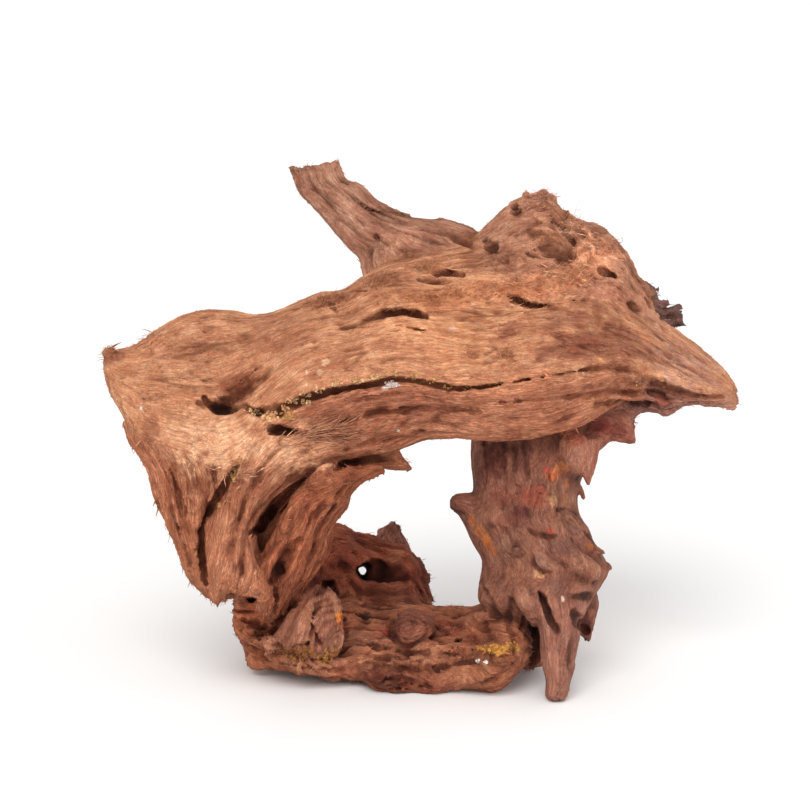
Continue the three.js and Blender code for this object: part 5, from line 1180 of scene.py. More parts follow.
# tones, stains and painted shade, placed one by one: (x, h, radius, colour, amount, x stretch)
SPOTS = [
    (-63, 40.2, 7.2, (178, 112, 84), 0.45, 3.2),
    (-99, 22.2, 6, (172, 108, 80), 0.4, 2.4),
    (-123, 19.8, 7.2, (198, 138, 106), 0.35, 2.6),
    (-6, 36, 5.4, (176, 112, 86), 0.35, 3.4),
    (-45, 22.2, 5.4, (182, 118, 90), 0.4, 3.4),
    (93, 31.8, 5.4, (132, 74, 58), 0.5, 3.2),
    (129, 45, 6, (134, 80, 64), 0.45, 2.6),
    (75, 3, 5.4, (150, 92, 70), 0.45, 3.2),
    (15, -7.8, 5.4, (150, 92, 70), 0.45, 3.2),
    (-117, 36, 30, (184, 124, 94), 0.55, 1.3),
    (-135, 12, 27, (204, 144, 108), 0.4, 1.2),
    (-78, 48, 15.6, (172, 114, 86), 0.5, 2.2),
    (-63, 27, 18, (188, 126, 94), 0.35, 1.6),
    (117, 39, 31.2, (140, 84, 62), 0.8, 1.5),
    (171, 25.8, 24, (188, 139, 122), 0.6, 1.3),
    (150, 51, 13.2, (190, 142, 120), 0.4, 1.2),
    (27, 42, 27, (228, 160, 116), 0.6, 1.6),
    (15, 33, 14.4, (200, 134, 98), 0.3, 2),
    (65.4, 47.4, 4.2, (150, 86, 66), 0.6, 2.4),
    (61.2, 42.6, 3.6, (140, 76, 58), 0.65, 2.2),
    (55.8, 37.8, 3, (150, 84, 64), 0.5, 2.4),
    (91.8, 42.6, 3.6, (148, 86, 64), 0.55, 3),
    (108, 38.4, 4.8, (138, 76, 58), 0.6, 3.0),
    (100.2, 33.6, 3, (146, 84, 64), 0.5, 3),
    (124.2, 36, 4.8, (150, 90, 70), 0.4, 3),
    (84, 27, 4.8, (170, 112, 90), 0.4, 3),
    (141, 31.8, 7.2, (150, 96, 74), 0.4, 3),
    (39, 53.4, 4.8, (178, 112, 80), 0.4, 3),
    (-33, 31.8, 4.8, (184, 120, 88), 0.4, 3),
    (-93, 39, 6, (176, 114, 84), 0.4, 2.6),
    (93, 52.2, 6, (160, 104, 84), 0.5, 2.6),
    (111, 84.6, 12, (240, 170, 130), 0.85, 1.3),
    (97.8, 76.2, 9, (242, 171, 130), 0.9, 1.5),
    (81, 71.4, 9, (238, 167, 126), 0.9, 2.2),
    (117, 94.2, 10.8, (242, 174, 136), 0.95, 1.3),
    (45, 69, 14.4, (230, 160, 118), 0.75, 2.2),
    (64.2, 64.8, 7.2, (226, 152, 110), 0.75, 1.8),
    (98.4, 105, 7.2, (226, 164, 132), 0.85, 1.2),
    (129, 91.8, 7.2, (230, 164, 130), 0.75, 1),
    (21, 63, 10.8, (210, 140, 98), 0.5, 2.4),
    (15, 63, 13.2, (202, 134, 94), 0.5, 1.6),
    (-3, 75, 14.4, (168, 112, 84), 0.5, 1.8),
    (-36, 63, 12, (176, 116, 86), 0.5, 1.6),
    (87.6, 96.6, 9, (150, 96, 70), 0.6, 0.95),
    (96, 91.8, 3.6, (122, 76, 56), 0.6, 0.9),
    (106.8, 93, 2.4, (168, 108, 78), 0.6, 1.2),
    (79.2, 123, 5.4, (204, 150, 126), 0.7, 1.5),
    (81.6, 110.4, 2.4, (216, 162, 124), 0.8, 1.4),
    (60, 105, 8.4, (192, 142, 114), 0.5, 0.8),
    (117, 69, 8.4, (188, 126, 100), 0.6, 1.8),
    (130.2, 64.2, 8.4, (172, 112, 88), 0.5, 1.2),
    (49.8, 85.8, 10.8, (160, 108, 84), 0.5, 1.6),
    (39, 99, 5.4, (150, 92, 56), 0.7, 1.0),
    (66.6, 117, 3.9, (88, 46, 40), 0.85, 0.8),
    (-112.2, -23.4, 20.4, (232, 176, 138), 0.9, 1.7),
    (-69, -28.2, 15.6, (228, 172, 134), 0.85, 1.5),
    (-138, -15, 14.4, (212, 154, 118), 0.6, 1.2),
    (-51, -21, 13.2, (206, 146, 112), 0.5, 1.6),
    (-175.8, 29.4, 7.2, (140, 84, 62), 0.75, 1.0),
    (-153, -15, 8.4, (150, 92, 70), 0.6, 0.7),
    (-144, -30, 9.6, (158, 100, 76), 0.5, 0.7),
    # painted shade: the next three spots darken the slab's carved triangular hollow
    (-100.2, 10.2, 9.6, (128, 64, 44), 0.75, 1.2),
    (-110.4, -1.2, 5.4, (88, 42, 28), 0.85, 1.4),
    (-109.8, 0.6, 5.4, (116, 62, 44), 0.7, 1.3),
    (-3, 1.8, 13.2, (160, 100, 76), 0.55, 2.6),
    (-45, -3, 10.8, (156, 98, 74), 0.5, 1.8),
    (33, -12, 13.2, (184, 122, 94), 0.4, 2.2),
    (93, 0, 14.4, (166, 106, 80), 0.45, 2.0),
    (123, 6, 8.4, (182, 122, 94), 0.5, 1.6),
    (-84, -45, 15.6, (168, 106, 80), 0.4, 1),
    (-91.8, -141, 20.4, (182, 112, 78), 0.6, 1.2),
    (-129, -57, 9.6, (184, 122, 94), 0.4, 0.7),
    (-63, -45, 10.8, (140, 82, 60), 0.5, 1.4),
    (-45, -64.2, 10.8, (158, 98, 74), 0.4, 1.0),
    (-99, -93, 14.4, (172, 110, 84), 0.4, 0.8),
    # painted shade: the next four spots darken the column's top where it runs in under the front band
    (54.6, -30, 14.4, (80, 30, 22), 0.85, 0.9),
    (70.2, -30.6, 9.6, (98, 52, 42), 0.7, 0.7),
    (87, -30, 9.6, (124, 72, 56), 0.55, 0.8),
    (46.2, -45, 9.6, (110, 62, 48), 0.6, 0.8),
    (93, -93, 15.6, (152, 100, 82), 0.4, 1.2),
    (111, -84, 7.2, (146, 84, 72), 0.5, 0.8),
    (77.4, -55.2, 7.2, (150, 64, 46), 0.55, 1.3),
    (81.6, -51, 3, (160, 78, 56), 0.45, 1),
    (73.8, -57, 2.4, (156, 74, 54), 0.4, 1),
    (69.6, -64.2, 4.2, (98, 44, 40), 0.8, 1.5),
    (102, -57, 4.8, (178, 118, 96), 0.5, 1.2),
    (60, -84, 8.4, (146, 100, 80), 0.4, 1.5),
    (117, -101.4, 5.4, (168, 118, 96), 0.5, 1),
    (57, -55.2, 7.2, (132, 66, 52), 0.5, 1.6),
    (61.8, -70.2, 6, (124, 66, 54), 0.4, 1.8),
    (88.8, -57, 3.6, (188, 138, 98), 0.7, 1.2),
    (102, -75, 5.4, (112, 72, 64), 0.5, 1.4),
    (96, -85.8, 6, (118, 80, 70), 0.45, 1.6),
    (66, -102, 7.2, (158, 104, 78), 0.5, 1.6),
    (81.6, -93, 5.4, (134, 98, 86), 0.35, 1.2),
    (52.2, -102, 4.8, (124, 76, 58), 0.5, 0.6),
    (90, -108, 4.8, (122, 84, 74), 0.4, 1.4),
    (69, -117, 6, (160, 108, 84), 0.5, 1),
    (88.8, -42, 3.9, (194, 100, 54), 0.75, 1.2),
    (93.6, -37.8, 4.2, (190, 112, 66), 0.75, 1.4),
    (97.2, -47.4, 3, (182, 104, 66), 0.6, 0.8),
    (85.2, -39, 3, (158, 66, 52), 0.7, 1),
    (96, -56.4, 3, (176, 118, 58), 0.8, 0.6),
    (87.6, -75.6, 2.1, (164, 72, 52), 0.8, 1.2),
    (117, -11.4, 7.2, (124, 48, 42), 0.75, 1.1),
    (103.8, -19.8, 5.4, (150, 66, 50), 0.55, 1.3),
    (127.8, -15, 5.4, (112, 50, 44), 0.6, 1),
    (40.2, -69.6, 4.2, (186, 108, 60), 0.75, 0.7),
    (44.4, -75.6, 4.2, (190, 108, 56), 0.8, 0.75),
    (48.6, -81.6, 4.8, (192, 108, 54), 0.9, 0.85),
    (52.2, -87, 3.9, (178, 104, 62), 0.7, 0.9),
    (112.2, -87, 3, (112, 54, 50), 0.8, 0.6),
    (67.2, -85.2, 3.6, (112, 68, 56), 0.6, 1),
    (80.4, -101.4, 2.7, (206, 148, 106), 0.85, 1.6),
    (111, -84.6, 3, (196, 120, 52), 0.6, 1),
    (57, -147, 4.2, (212, 150, 62), 0.7, 2.2),
    (65.4, -145.8, 2.4, (218, 160, 70), 0.7, 1.4),
    (45, -145.8, 3, (190, 124, 58), 0.6, 1.4),
    (30, -135, 6, (150, 66, 54), 0.5, 1.4),
    (24, -130.2, 4.8, (160, 84, 62), 0.5, 1),
    (-39, -128.4, 4.5, (220, 118, 36), 0.95, 0.6),
    (-36.6, -132.6, 2.4, (214, 70, 40), 0.8, 0.6),
    (-41.4, -125.4, 2.1, (216, 140, 60), 0.8, 0.6),
    (-10.2, -136.2, 3, (184, 72, 56), 0.8, 1.6),
    (-16.2, -137.4, 2.4, (180, 90, 60), 0.6, 1.4),
    (-23.4, -127.2, 3.6, (70, 42, 38), 0.85, 1.2),
    (-20.4, -144.6, 3, (80, 48, 42), 0.85, 1),
    (-33, -117, 12, (160, 100, 72), 0.6, 1.6),
    (-6, -115.8, 9.6, (158, 100, 74), 0.5, 1.4),
    (-6, -90, 5.4, (176, 112, 84), 0.7, 1.4),
    (-71.4, -55.8, 7.2, (130, 66, 46), 0.5, 1.2),
    (-33, -102, 7.2, (150, 88, 62), 0.5, 1.2),
    # painted shade: the next three spots darken the recess under the beak
    (162, 7.2, 7.2, (134, 82, 66), 0.6, 2.6),
    (153, 11.4, 4.8, (116, 68, 54), 0.7, 2.0),
    (148.2, 12.6, 3.6, (112, 66, 52), 0.6, 1),
    (153, 1.8, 4.2, (150, 76, 62), 0.6, 1.6),
    (-24, -141, 9.6, (146, 96, 82), 0.4, 1.6),
    (-45, -150, 6, (160, 106, 52), 0.6, 1.6),
    (-63, -148.2, 6, (146, 92, 46), 0.55, 1.6),
    (-80.4, -141, 3, (184, 126, 98), 0.8, 1),
    (-84, -115.8, 5.4, (184, 118, 84), 0.65, 0.8),
    (-93, -129, 12, (216, 124, 86), 0.8, 1.2),
    (-47.4, -130.2, 6, (176, 116, 96), 0.5, 0.8),
    (-60.6, -124.2, 7.2, (172, 112, 82), 0.45, 0.9),
    (-63, -157.8, 7.2, (184, 120, 88), 0.5, 3),
    (-27, -154.2, 7.2, (180, 118, 86), 0.5, 3),
    (15, -150, 7.2, (184, 122, 90), 0.5, 3),
    (-78, -153, 6, (160, 90, 50), 0.5, 1.4),
    (-88.2, -136.2, 13.2, (178, 108, 76), 0.6, 1.1),
    (-96, -123, 4.2, (118, 68, 52), 0.5, 1),
    (-91.8, -133.8, 4.8, (146, 88, 64), 0.5, 1),
    (-82.2, -145.8, 3, (176, 116, 88), 0.6, 1),
    (-99, -130.2, 3, (120, 60, 46), 0.5, 1),
    (-75, -127.8, 4.8, (136, 76, 58), 0.5, 1),
    (9, -156, 18, (164, 104, 78), 0.45, 2.2),
    (-33, -162, 10.8, (150, 86, 62), 0.45, 2),
    (39, -162, 9.6, (172, 110, 80), 0.45, 2),
    (51, -132, 7.2, (122, 72, 54), 0.5, 1),
    (-51, 109.8, 6, (150, 96, 76), 0.4, 0.8),
    (-36, 114, 7.2, (196, 150, 126), 0.4, 1),
    (-57, 132, 7.2, (150, 104, 86), 0.4, 1),
    (-3, 99, 10.8, (190, 134, 106), 0.4, 1.4),
    (-12, -111, 9.6, (140, 80, 60), 0.4, 1.3),
    (-36, -93, 8.4, (130, 64, 50), 0.5, 1),
    (-45, -84, 4.8, (130, 60, 50), 0.5, 1),
    # painted shade: the dark underside above the pocket at the column's lower right
    (108, -115.2, 4.2, (92, 56, 48), 0.8, 1.7),
    (112.2, -124.8, 3, (160, 102, 78), 0.6, 0.8),
    (113.4, -129, 1.8, (188, 116, 64), 0.6, 1),
    (9, 30, 6, (186, 120, 88), 0.35, 2.6),
    (-15, 39, 4.8, (188, 122, 88), 0.35, 2.4),
    (-147, 27, 5.4, (222, 166, 130), 0.45, 1.3),
    (-129, 45, 4.8, (222, 168, 134), 0.4, 1.6),
    (-114, 33, 4.2, (186, 120, 88), 0.4, 1.5),
    (-159, 3, 6, (196, 132, 98), 0.4, 1.2),
    (-75, 33, 5.4, (184, 120, 90), 0.4, 2),
    (-33, 51, 5.4, (192, 128, 94), 0.4, 2),
    (0, -117, 8.4, (134, 84, 66), 0.45, 1.2),
    (-4.2, -96, 4.8, (140, 90, 72), 0.5, 1),
    (94.8, -117, 1.56, (240, 212, 190), 0.9, 0.6),
    (-158.4, -1.8, 0.78, (244, 240, 234), 0.95, 1),
    (-4.2, -15, 0.78, (240, 234, 226), 0.9, 1),
    (43.8, -153.6, 1.08, (246, 240, 230), 0.95, 1),
    (48.6, -154.2, 0.96, (246, 240, 230), 0.95, 1),
    (-7.8, 12.6, 1.92, (232, 222, 222), 0.95, 2.6),
    (-12, 10.2, 1.32, (220, 206, 200), 0.85, 1.6),
    (28.2, 45.6, 1.8, (222, 190, 176), 0.6, 1.6),
    (-47.4, 25.8, 3, (232, 188, 152), 0.75, 0.9),
    (-51, 19.8, 2.4, (234, 190, 154), 0.7, 0.9),
    (-58.8, 19.8, 1.32, (238, 204, 172), 0.8, 0.6),
    (-59.4, 12.6, 1.2, (236, 200, 168), 0.8, 0.6),
    (-57.6, 33, 1.08, (230, 186, 150), 0.7, 0.5),
    (-52.2, 42, 3, (222, 168, 130), 0.5, 1),
    (-53.4, 11.4, 1.2, (234, 196, 160), 0.7, 0.6),
]
# frayed areas: (x, h, radius, amount, fibre length, x stretch)
FRAY = [
    (0, 55.8, 8.4, 0.8, 3.6, 2.0),
    (25.8, 79.8, 7.2, 0.8, 3.4, 2.0),
    (84, 61.8, 12, 0.7, 3, 2.4),
    (-99, 9, 10.8, 0.6, 3, 1.4),
    (-63, -117, 6, 0.3, 2, 1),
    (-154.2, 39, 9.6, 1.0, 4.5, 1.3),
    (-175.2, 31.8, 7.2, 0.9, 3.5, 1.0),
    (-135, 27, 22.8, 0.6, 2.6, 1.4),
    (-147, 6, 18, 0.5, 2.4, 1.2),
    (-105, 36, 20.4, 0.45, 2.2, 1.5),
    (-49.8, 61.8, 9.6, 1.0, 4.5, 1.7),
    (-42, 64.2, 5.4, 1.0, 5, 1.2),
    (-18, 73.8, 10.8, 0.9, 4.0, 1.5),
    (16.2, 83.4, 9.6, 0.8, 3.8, 2.0),
    (-9, 63, 9.6, 0.7, 3.2, 1.8),
    (93, 78, 9, 1.0, 4.2, 2.6),
    (118.2, 94.8, 9, 1.0, 4.4, 1.6),
    (136.2, 95.4, 4.8, 1.0, 4.5, 1.2),
    (97.8, 105, 7.2, 1.0, 5.0, 1.2),
    (69, 67.8, 10.8, 0.8, 3.6, 2.2),
    (39, 67.8, 10.8, 0.8, 3.2, 2.2),
    (15, 63, 8.4, 0.7, 3, 2),
    (39, 30, 4.2, 1.0, 4, 1.2),
    (60, 30, 4.8, 1.0, 4.5, 1.2),
    (78, 119.4, 7.2, 0.9, 3.2, 1.4),
    (84, 124.2, 4.8, 1, 4, 1.4),
    (-52.2, -16.8, 5.4, 1.0, 8.5, 2.6),
    (-36, -12, 6, 0.6, 5, 2.2),
    (-63, -24, 9.6, 0.5, 3.6, 1.8),
    (-99, -24, 15.6, 0.5, 3, 1.8),
    (-31.8, -21, 6, 0.7, 4.5, 1.6),
    (-93, -46.2, 7.2, 0.6, 4, 1.0),
    (-106.2, -39, 4.8, 0.8, 4, 1.0),
    (-23.4, -32.4, 3.6, 0.9, 5, 1.2),
    (-63, -39, 7.2, 0.5, 3.5, 1.6),
    (141, 1.8, 5.4, 0.8, 4, 1.4),
    (118.2, 79.8, 4.8, 0.8, 3, 1.2),
    (-93, -1.8, 8.4, 0.6, 2.6, 1.8),
    (-114, -4.2, 4.8, 0.7, 3, 1.2),
    (-11.4, -70.2, 3.6, 0.35, 2.5, 1.2),
    (15, 60, 3.6, 0.9, 5, 1),
    (13.8, 52.2, 3.6, 0.9, 5, 1.0),
    (-123, -112.2, 4.8, 0.6, 4, 1),
    (-153, -21, 12, 0.4, 2.6, 0.8),
    (-69, -147, 9.6, 0.5, 2.5, 1.6),
    (57, -144, 6, 0.5, 2.2, 1.6),
]
# rings round knots and the folds of the burl: (x, h, reach, wave, height, x stretch, piece)
RINGS = [
    (-40.2, -142.2, 27.6, 3.9, 0.55, 1.0, 'base_burl'),
    (66.6, -86.4, 5.4, 3.0, 0.35, 1.2, ''),
    (81.6, -50.4, 4.8, 3.0, 0.28, 1.3, ''),
    (67.2, -50.4, 3.6, 3.0, 0.25, 1.2, ''),
    (2.4, -134.4, 7.8, 3.4, 0.22, 1.2, ''),
    (100.8, -71.4, 9.6, 3.6, 0.3, 1.6, ''),
    (88.8, -43.8, 4.2, 3.2, 0.22, 1.0, ''),
    (60, 30, 5.4, 3.2, 0.3, 1.6, ''),
    (-81, -141.6, 3, 3.0, 0.3, 1.0, ''),
    (-85.8, -115.8, 4.2, 3.2, 0.3, 0.7, ''),
]
# crumbs: (x, h, spread, number, size, colour, x stretch)
CRUMBS_SHAKE = [
    (-91.8, -4.2, 3, 26, 0.8, (232, 188, 136), 1.8),
    (-81, -6.6, 3, 40, 0.8, (232, 188, 136), 1.8),
    (-70.2, -6.6, 3, 34, 0.8, (200, 146, 92), 1.6),
    (-67.8, 3, 2.4, 26, 0.7, (232, 188, 136), 1.8),
    (-59.4, 6.6, 1.8, 24, 0.65, (232, 188, 136), 2.0),
    (-51, 9, 1.8, 22, 0.6, (232, 188, 136), 2.2),
    (-40.2, 12.6, 1.8, 30, 0.65, (232, 188, 136), 2.4),
    (-29.4, 14.4, 1.8, 32, 0.65, (232, 188, 136), 2.4),
    (-18.6, 16.8, 1.8, 30, 0.6, (232, 188, 136), 2.4),
    (-7.8, 18.6, 1.8, 28, 0.6, (216, 170, 120), 2.4),
    (4.2, 16.8, 1.56, 24, 0.55, (210, 160, 108), 2.4),
    (15, 14.4, 1.56, 22, 0.5, (206, 152, 100), 2.4),
    (25.8, 11.4, 1.44, 20, 0.5, (206, 152, 100), 2.4),
    (37.8, 10.2, 1.32, 16, 0.45, (200, 146, 96), 2.4),
    (57, 12.6, 1.32, 14, 0.4, (196, 142, 96), 2.6),
    (-60, 1.8, 1.8, 18, 0.7, (232, 188, 136), 2),
    (-72, -1.8, 1.8, 18, 0.7, (232, 188, 136), 1.5),
    (-7.8, 12.6, 1.8, 26, 0.6, (232, 224, 222), 2.4),
    (141, 13.2, 1.8, 8, 0.5, (206, 156, 110), 1.5),
    (-103.2, -40.8, 3, 26, 0.75, (200, 150, 96), 0.9),
    (-99, -33, 3, 18, 0.7, (190, 138, 92), 1.2),
    (-111.6, -60.6, 1.8, 14, 0.8, (196, 146, 98), 0.7),
    (-102.6, -45, 1.8, 10, 0.8, (214, 170, 120), 0.6),
]
CRUMBS_BASE = [
    (-63, -149.4, 4.2, 80, 0.85, (150, 96, 50), 2.2),
    (-48, -152.4, 3, 40, 0.8, (176, 120, 58), 1.6),
    (-76.2, -147, 3.6, 40, 0.9, (126, 78, 46), 1.4),
    (51, -146.4, 3, 70, 0.75, (206, 146, 70), 2.6),
    (40.2, -141, 3.6, 40, 0.8, (150, 80, 56), 1.4),
    (64.2, -144, 2.4, 26, 0.7, (214, 158, 76), 1.5),
    (25.8, -135, 3.6, 40, 0.7, (156, 84, 60), 1.4),
    (43.8, -153, 1.08, 6, 0.8, (246, 240, 230), 1.2),
    (48.6, -154.2, 0.96, 5, 0.7, (246, 240, 230), 1.2),
    (31.8, -148.2, 3.6, 26, 0.7, (140, 78, 54), 1.6),
    (-85.8, -137.4, 4.2, 36, 0.9, (120, 68, 46), 1.4),
]


def seen_at(rows):
    """Where the front view meets the wood at each row's (x, h), for the soft areas listed."""
    where, ok = hit([r[:2] for r in rows])
    return [(w, r) for w, k, r in zip(where, ok, rows) if k]


SPOTS_AT = seen_at(SPOTS)
FRAY_AT = seen_at(FRAY)
RINGS_AT = seen_at(RINGS)


def area_weight(v, at, x_stretch, r):
    rel = v - at
    rel[:, 0] /= x_stretch
    return np.sqrt((rel * rel).sum(1)) / r


def frayed(v):
    """How frayed the wood is at v, 0 to 1, and how long its fibres are, mm."""
    w, ln = np.zeros(len(v)), np.full(len(v), 2.5)
    for at, (x, h, r, amount, long, squash) in FRAY_AT:
        d = area_weight(v - 0.0, at, squash, r)
        k = amount * (1 - step(d, 0.55, 1.15))
        ln = np.where(k > w, long, ln)
        w = np.maximum(w, k)
    return w.astype(F), ln


def rings(v, name):
    """Waves round knots and the fold of the burl: height in mm, and how far down a valley, 0 to 1."""
    up, low = np.zeros(len(v), F), np.zeros(len(v), F)
    for at, (x, h, r, wave, amp, squash, only) in RINGS_AT:
        if only and only != name:
            continue
        d = area_weight(v - 0.0, at, squash, 1.0)
        near = d < 1.3 * r
        if not near.any():
            continue
        s = np.sin(d[near] * (2 * np.pi / wave) + 1.5 * noise(v[near] / F(9), 171) + 0.9 * noise(v[near] / F(3.5), 172))
        k = 1 - step(d[near] / r, 0.7, 1.25)
        up[near] += amp * k * s
        low[near] = np.maximum(low[near], k * np.clip(-s - 0.1, 0, 1))
    return up, low


def paint(i, v, c):
    """Colour of limb i's wood at vertices, before the spots (stains and painted shade) and the painted shade of hollows
    and highlight of crests.
    """
    name = limbs[i].name
    a, b = (linear(t) for t in WOOD[name])
    k = i * 11
    m = 0.55 * fbm(c / vec(46, 7, 7), 140 + k, 3) + 0.55 * fbm(v / F(20), 144 + k, 3)
    m = step(m, -0.55, 0.6)[:, None]
    return a * (1 - m) + b * m


def build(name, v, q, nn):
    i = INDEX[name]
    v = v.astype(F)
    m1, m2 = sample(M1, v), sample(M2, v)
    idx = np.clip(np.rint((v - LO) / H).astype(int), 0, np.array(DIM) - 1)
    col = np.zeros((len(v), 3))
    fis = np.zeros(len(v), F)
    fine = np.zeros(len(v), F)
    own_first = ID[idx[:, 0], idx[:, 1], idx[:, 2]].astype(np.int16)
    own_first = np.where(own_first < 0, i, own_first)
    fray, _ = frayed(v)
    for j, sel, share in near_limbs(m1, m2, own_first, v):
        p = v[sel]
        c = grain_coords(j, p)
        st = {**STYLE, **STYLES.get(limbs[j].name, {})}
        _, cr = relief(j, c, p)
        k = j * 11
        g = noise(c / vec(22, 2.4, 2.4), 110 + k) * 0.6 + noise(c / vec(11, 1.5, 1.5), 111 + k) * 0.35
        g = g * (1 - 0.5 * fray[sel]) + noise(p / F(2.6), 113) * 1.3 * fray[sel]
        np.add.at(fine, sel, (st["grain"] * g * share).astype(F))
        np.add.at(fis, sel, (cr * share).astype(F))
        pc = paint(j, p, c)
        # fibres of lighter and darker wood
        s = 1 + 0.16 * noise(c / vec(18, 2.2, 2.2), 116 + k) + 0.10 * noise(c / vec(60, 5, 5), 117 + k)
        pc = pc * s[:, None]
        for a in range(3):
            np.add.at(col[:, a], sel, pc[:, a] * share)
    up, low = rings(v, name)
    fine += up
    fis += 0.7 * low
    own = grain_coords(i, v)
    # how far each vertex lies under the uncarved limb; the materials paint shade into deep hollows from it
    sunk = np.clip(-sample(GH, v), -3, 14)
    v2 = v + nn.astype(F) * fine[:, None]
    inner = sample(G, v) < -1.2  # cut faces between pieces
    v2[inner] = v[inner]
    v2[:, 2] = np.maximum(v2[:, 2], FLOOR + 0.1)
    c1, c2 = cavity(v2)
    c1, c2 = np.clip(c1, -1, 1.6), np.clip(c2, -1, 1.6)
    # low is painted shade in valleys, high is painted highlight on crests, both from how hollow or proud the skin lies
    low = np.clip(c1, 0, None) * 0.46 + np.clip(c2, 0, None) * 0.24
    high = np.clip(-c1, 0, 1) * 0.16 + np.clip(-c2, 0, 1) * 0.10
    col = spots(v2, col, c1)
    # painted shade: valleys go dark and red by how hollow they lie; painted highlight: crests go pale
    shade = np.exp(-low[:, None] * np.array([1.15, 1.45, 1.6]))
    col = col * shade * (1 + high[:, None] * np.array([0.9, 1.05, 1.1]))
    return v2, col, own, fis, sunk, fray


def spots(v, col, cav):
    for at, s in SPOTS_AT:
        r, c, amount = s[2:5]
        squash = s[5] if len(s) > 5 else 1.0
        dist = area_weight(v - 0.0, at, squash, r)
        near = dist < 2.0
        if not near.any():
            continue
        p = v[near].astype(F)
        n = fbm(p / F(min(max(r * 0.4, 1.6), 9)), 201, 3)
        edge = 0.9 if r > 14 else 0.55
        w = np.clip((1.15 - dist[near] + edge * 0.7 * n) / edge, 0, 1)
        w = (w * w * (3 - 2 * w) * amount)[:, None]
        col[near] = col[near] * (1 - w) + linear(c) * w
    return col


def make_object(name, v, q, col, own, fis, sunk, fray):
    me = bpy.data.meshes.new(name)
    sides = q.shape[1]
    me.vertices.add(len(v))
    me.vertices.foreach_set("co", (v * 0.001).astype(F).ravel())
    me.loops.add(len(q) * sides)
    me.loops.foreach_set("vertex_index", q.astype(np.int32).ravel())
    me.polygons.add(len(q))
    me.polygons.foreach_set("loop_start", (np.arange(len(q)) * sides).astype(np.int32))
    me.update(calc_edges=True)
    me.polygons.foreach_set("use_smooth", np.ones(len(q), bool))
    # tint: the colour at each vertex; on the wood skins and their strands it holds painted shade and highlight
    a = me.color_attributes.new("tint", "FLOAT_COLOR", "POINT")
    a.data.foreach_set("color", np.column_stack([col, np.ones(len(v))]).astype(F).ravel())
    a = me.attributes.new("grain", "FLOAT_VECTOR", "POINT")
    a.data.foreach_set("vector", own.astype(F).ravel())
    for key, val in (("fissure", fis), ("sunk", sunk), ("fray", fray)):
        a = me.attributes.new(key, "FLOAT", "POINT")
        a.data.foreach_set("value", val.astype(F))
    me.validate()
    o = bpy.data.objects.new(name, me)
    bpy.context.scene.collection.objects.link(o)
    return o


# ------------------------------------------------------------------ torn fibres, splinters and crumbs
def strands(roots, out, way, length, radius, curl, rs, flat=1.0, rings=4, sides=3, sink=0.6, rise=0.35):
    """Closed tapered strands that grow from the skin. All lengths in mm. Returns vertices, triangles, t along each."""
    n = len(roots)
    rnd = rs.normal(size=(n, 3))
    way = way + 0.28 * rnd
    way -= out * (way * out).sum(1, keepdims=True) * 0.8
    way /= np.maximum(np.linalg.norm(way, axis=1, keepdims=True), 1e-6)
    side = np.cross(out, way)
    side /= np.maximum(np.linalg.norm(side, axis=1, keepdims=True), 1e-6)
    up = np.cross(way, side)
    lift = rise * (0.3 + rs.rand(n, 1) ** 1.5 * 1.7)
    ph, fr, am = rs.rand(n, 1) * 6.3, 2 + 4 * rs.rand(n, 1), curl * rs.rand(n, 1)
    t = np.linspace(0, 1, rings + 1)
    P, T = [], []
    for k, tk in enumerate(t):
        c = roots - out * sink * (1 - tk) ** 3
        c = c + length * (way * tk + out * lift * tk * (0.6 + 0.4 * tk))
        c = c + length * am * (side * (np.sin(ph + fr * tk) - np.sin(ph)) + out * 0.6 * (np.cos(ph + fr * tk) - np.cos(ph)))
        if k == rings:
            P.append(c[:, None])
            T.append(np.ones((n, 1)))
            continue
        th = 2 * np.pi * np.arange(sides) / sides
        r = radius * (1 - tk) ** 0.55 * (0.85 + 0.3 * rs.rand(n, 1))
        ring = c[:, None] + r[:, None] * (side[:, None] * np.cos(th)[None, :, None] + up[:, None] * flat * np.sin(th)[None, :, None])
        P.append(ring)
        T.append(np.full((n, sides), tk))
    V = np.concatenate(P, 1)
    m = rings * sides + 1
    tri = []
    for k in range(rings - 1):
        for s in range(sides):
            a, b = k * sides + s, k * sides + (s + 1) % sides
            tri += [(a, b, b + sides), (a, b + sides, a + sides)]
    base = (rings - 1) * sides
    for s in range(sides):
        tri.append((base + s, base + (s + 1) % sides, m - 1))
    for s in range(1, sides - 1):
        tri.append((0, s + 1, s))
    tri = np.array(tri)
    allt = (np.arange(n)[:, None, None] * m + tri[None]).reshape(-1, 3)
    return V.reshape(-1, 3), allt, np.concatenate(T, 1).reshape(-1), m


def closed_out(v, tri):
    """Turns the triangles so that they face out, by the sign of the whole volume."""
    a, b, c = v[tri[:, 0]], v[tri[:, 1]], v[tri[:, 2]]
    return tri if (a * np.cross(b, c)).sum() > 0 else tri[:, ::-1]


def pool(names):
    """Skin vertices of some pieces, with normals, grain direction, colour and fray."""
    out = []
    for name in names:
        v, nn, col, own, fray, sunk = SKIN[name]
        limb = limbs[INDEX[name]]
        s = own[:, 0]
        way = np.stack([np.interp(s, limb.s, limb.n[:, j]) for j in range(3)], 1)
        skin = sample(G, v - nn * 0.8) > -1.6
        skin &= v[:, 2] > FLOOR + 3
        out.append([a[skin] for a in (v, nn, way, col, own, fray, sunk)])
    return [np.concatenate(k) for k in zip(*out)]


